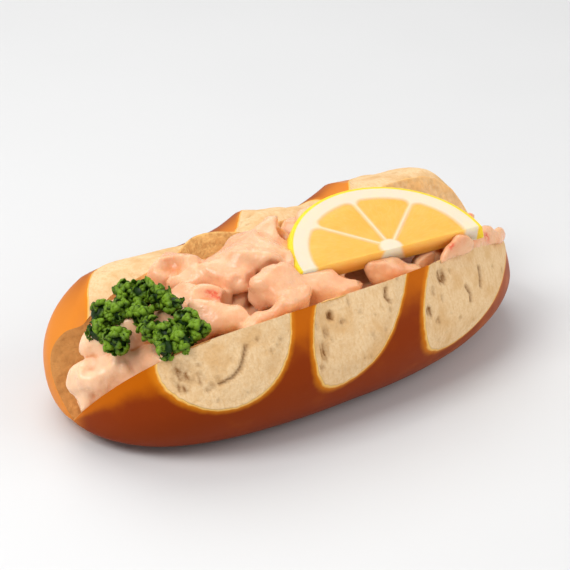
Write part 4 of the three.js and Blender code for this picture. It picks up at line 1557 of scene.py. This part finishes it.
def leaflet_object(look):
    """A smooth leaflet with a wall, for the sprig to repeat"""
    leaflet = bpy.data.objects.new("leaflet", leaflet_mesh(look.leaflet))
    bpy.context.scene.collection.objects.link(leaflet)
    wall = leaflet.modifiers.new("Thickness", "SOLIDIFY")
    wall.thickness = LEAFLET_WALL * look.leaflet
    leaflet.data = evaluated_mesh(leaflet, "leaflet")
    leaflet.modifiers.clear()
    leaflet.data.polygons.foreach_set("use_smooth", np.ones(len(leaflet.data.polygons), bool))
    return leaflet


def stems(florets):
    """From each floret after the first, the line to the nearest one before it"""
    middles = [Vector(floret[:3]) for floret in florets]
    for i in range(1, len(middles)):
        yield middles[i], min(middles[:i], key=lambda other: (other - middles[i]).length)


def florets_object(look):
    """The florets' cores as balls, joined by stems, left in the dark leaf colour as painted shade"""
    balls = bmesh.new()
    for x, y, z, radius in FLORETS:
        place = Matrix.Translation(Vector((x, y, z)) * MM)
        core = look.core * radius * MM
        bmesh.ops.create_icosphere(balls, subdivisions=2, radius=core, matrix=place)
    for end, start in stems(FLORETS):
        turn = (end - start).to_track_quat("Z", "Y").to_matrix().to_4x4()
        bmesh.ops.create_cone(
            balls,
            cap_ends=True,
            segments=STEM_SIDES,
            radius1=STEM_RADIUS * MM,
            radius2=STEM_RADIUS * MM,
            depth=(end - start).length * MM,
            matrix=Matrix.Translation((start + end) / 2 * MM) @ turn,
        )
    mesh = bpy.data.meshes.new("florets")
    balls.to_mesh(mesh)
    balls.free()
    florets = bpy.data.objects.new("florets", mesh)
    bpy.context.scene.collection.objects.link(florets)
    return florets


def leaflet_tree(material):
    """Leaflets all over the florets, each turned and sized at random, with its own shade"""
    tree = bpy.data.node_groups.new("Curly parsley", "GeometryNodeTree")
    add_sockets(tree, "INPUT", Geometry="Geometry", Leaflet="Object", Density="Float", Seed="Int")
    add_sockets(tree, "OUTPUT", Geometry="Geometry")
    nodes = TreeBuilder(tree)
    given = tree.nodes.new("NodeGroupInput").outputs
    spread = nodes.node(
        "GeometryNodeDistributePointsOnFaces",
        {"Mesh": given["Geometry"], "Density": given["Density"], "Seed": given["Seed"]},
    )
    shape = nodes.node("GeometryNodeObjectInfo", {"Object": given["Leaflet"]})
    most = Vector((LEAFLET_LEAN, LEAFLET_LEAN, math.pi))
    tilt = nodes.node(
        "FunctionNodeRandomValue",
        {0: -most, 1: most, "Seed": given["Seed"]},
        data_type="FLOAT_VECTOR",
    )
    turned = nodes.node(
        "FunctionNodeRotateRotation",
        {"Rotation": spread.outputs["Rotation"], "Rotate By": tilt.outputs[0]},
        rotation_space="LOCAL",
    )
    placed = nodes.node(
        "GeometryNodeInstanceOnPoints",
        {
            "Points": spread.outputs["Points"],
            "Instance": shape.outputs["Geometry"],
            "Rotation": turned.outputs[0],
            "Scale": nodes.random(*LEAFLET_SIZES, given["Seed"]),
        },
    )
    tone = nodes.random(0.0, 1.0, given["Seed"])
    toned = nodes.node(
        "GeometryNodeStoreNamedAttribute",
        {"Geometry": placed.outputs[0], "Name": "shade", "Value": tone},
        domain="INSTANCE",
    )
    joined = nodes.node("GeometryNodeJoinGeometry")
    for part in (given["Geometry"], toned.outputs[0]):
        tree.links.new(part, joined.inputs[0])
    realized = nodes.node("GeometryNodeRealizeInstances", {"Geometry": joined.outputs[0]})
    coated = nodes.node(
        "GeometryNodeSetMaterial",
        {"Geometry": realized.outputs[0], "Material": material},
    )
    nodes.node("NodeGroupOutput", {"Geometry": coated.outputs[0]})
    return tree


def set_input(modifier, name, value):
    """Set a modifier's named input by its socket's identifier"""
    for item in modifier.node_group.interface.items_tree:
        if item.item_type == "SOCKET" and item.in_out == "INPUT" and item.name == name:
            modifier[item.identifier] = value


class SANDWICH_OT_parsley(bpy.types.Operator):
    """Set ruffled leaflets over the sprig's florets"""

    bl_idname = "sandwich.parsley"
    bl_label = "Curly Parsley"

    def execute(self, context):
        look = context.scene.parsley_look
        leaf = leaf_material(look)
        sprig = florets_object(look)
        leaflet = leaflet_object(look)
        grow = sprig.modifiers.new("Leaflets", "NODES")
        grow.node_group = leaflet_tree(leaf)
        set_input(grow, "Leaflet", leaflet)
        set_input(grow, "Density", look.leaflets / SQUARE_CENTIMETRE)
        set_input(grow, "Seed", look.seed)
        made = evaluated_mesh(sprig, "parsley_sprig")
        for obj in (sprig, leaflet):
            bpy.data.objects.remove(obj)
        show(made, (leaf,), "parsley")
        return {"FINISHED"}


def view_direction(turn, rise):
    """From the sandwich towards a light or camera, by its turn from the front and its height"""
    flat = math.cos(rise)
    return Vector((math.sin(turn) * flat, -math.cos(turn) * flat, math.sin(rise)))


def area_light(name, energy, size, distance, azimuth, elevation):
    """A square soft light that faces the middle of the sandwich"""
    data = bpy.data.lights.new(name, "AREA")
    data.energy = energy
    data.size = size
    lamp = bpy.data.objects.new(name, data)
    bpy.context.scene.collection.objects.link(lamp)
    towards = view_direction(math.radians(azimuth), math.radians(elevation))
    lamp.location = towards * distance
    lamp.rotation_euler = towards.to_track_quat("Z", "Y").to_euler()


class SANDWICH_OT_stage(bpy.types.Operator):
    """Set the floor, the light and the camera"""

    bl_idname = "sandwich.stage"
    bl_label = "Stage"

    def execute(self, context):
        scene = context.scene
        look = scene.stage_look
        corners = ((-1, -1, 0), (1, -1, 0), (1, 1, 0), (-1, 1, 0))
        mesh = bpy.data.meshes.new("floor")
        mesh.from_pydata([Vector(corner) * FLOOR_REACH for corner in corners], [], [(0, 1, 2, 3)])
        mesh.materials.append(floor_material(look))
        floor = bpy.data.objects.new("floor", mesh)
        scene.collection.objects.link(floor)
        world = bpy.data.worlds.new("Even light")
        world.use_nodes = True
        background = world.node_tree.nodes["Background"].inputs
        background["Color"].default_value = (1.0, 1.0, 1.0, 1.0)
        background["Strength"].default_value = look.sky
        scene.world = world
        for name, placing in LIGHTS.items():
            area_light(name, getattr(look, name), *placing)
        scene.view_settings.view_transform = "Standard"
        self.place_camera(scene, look)
        return {"FINISHED"}

    def place_camera(self, scene, look):
        """Set the camera on its direction from the target, upright"""
        turn = look.camera_azimuth
        back = view_direction(turn, look.camera_elevation)
        right = Vector((math.cos(turn), math.sin(turn), 0))
        up = back.cross(right)
        target = (Vector(CAMERA_TARGET) + CAMERA_SHIFT[0] * right + CAMERA_SHIFT[1] * up) * MM
        data = bpy.data.cameras.new("camera")
        data.lens = look.lens
        camera = bpy.data.objects.new("camera", data)
        scene.collection.objects.link(camera)
        axes = Matrix((right, up, back)).transposed()
        camera.matrix_world = Matrix.Translation(target + back * look.camera_distance) @ axes.to_4x4()
        scene.camera = camera


class SANDWICH_PT_panel(bpy.types.Panel):
    """Sizes, colours and steps of the sandwich"""

    bl_idname = "SANDWICH_PT_panel"
    bl_label = "Shrimp Pretzel Sandwich"
    bl_space_type = "VIEW_3D"
    bl_region_type = "UI"
    bl_category = "Sandwich"

    def draw(self, context):
        for name, (_, operator) in STEPS.items():
            box = self.layout.box()
            box.operator(operator)
            look = getattr(context.scene, name)
            for prop in look.bl_rna.properties:
                if not prop.is_readonly and prop.identifier != "name":
                    box.prop(look, prop.identifier)


# Each part's settings on the scene, and the operator that makes it
STEPS = {
    "roll_look": (RollLook, "sandwich.roll"),
    "salad_look": (SaladLook, "sandwich.salad"),
    "lemon_look": (LemonLook, "sandwich.lemon"),
    "parsley_look": (ParsleyLook, "sandwich.parsley"),
    "stage_look": (StageLook, "sandwich.stage"),
}
CLASSES = (
    RollLook,
    SaladLook,
    LemonLook,
    ParsleyLook,
    StageLook,
    SANDWICH_OT_roll,
    SANDWICH_OT_salad,
    SANDWICH_OT_lemon,
    SANDWICH_OT_parsley,
    SANDWICH_OT_stage,
    SANDWICH_PT_panel,
)


def register():
    for cls in CLASSES:
        bpy.utils.register_class(cls)
    for name, (settings, _) in STEPS.items():
        setattr(bpy.types.Scene, name, PointerProperty(type=settings))


def unregister():
    for name in STEPS:
        delattr(bpy.types.Scene, name)
    for cls in reversed(CLASSES):
        bpy.utils.unregister_class(cls)


def main():
    register()
    bpy.ops.sandwich.stage()
    bpy.ops.sandwich.roll()
    bpy.ops.sandwich.salad()
    bpy.ops.sandwich.lemon()
    bpy.ops.sandwich.parsley()


if __name__ == "__main__":
    main()
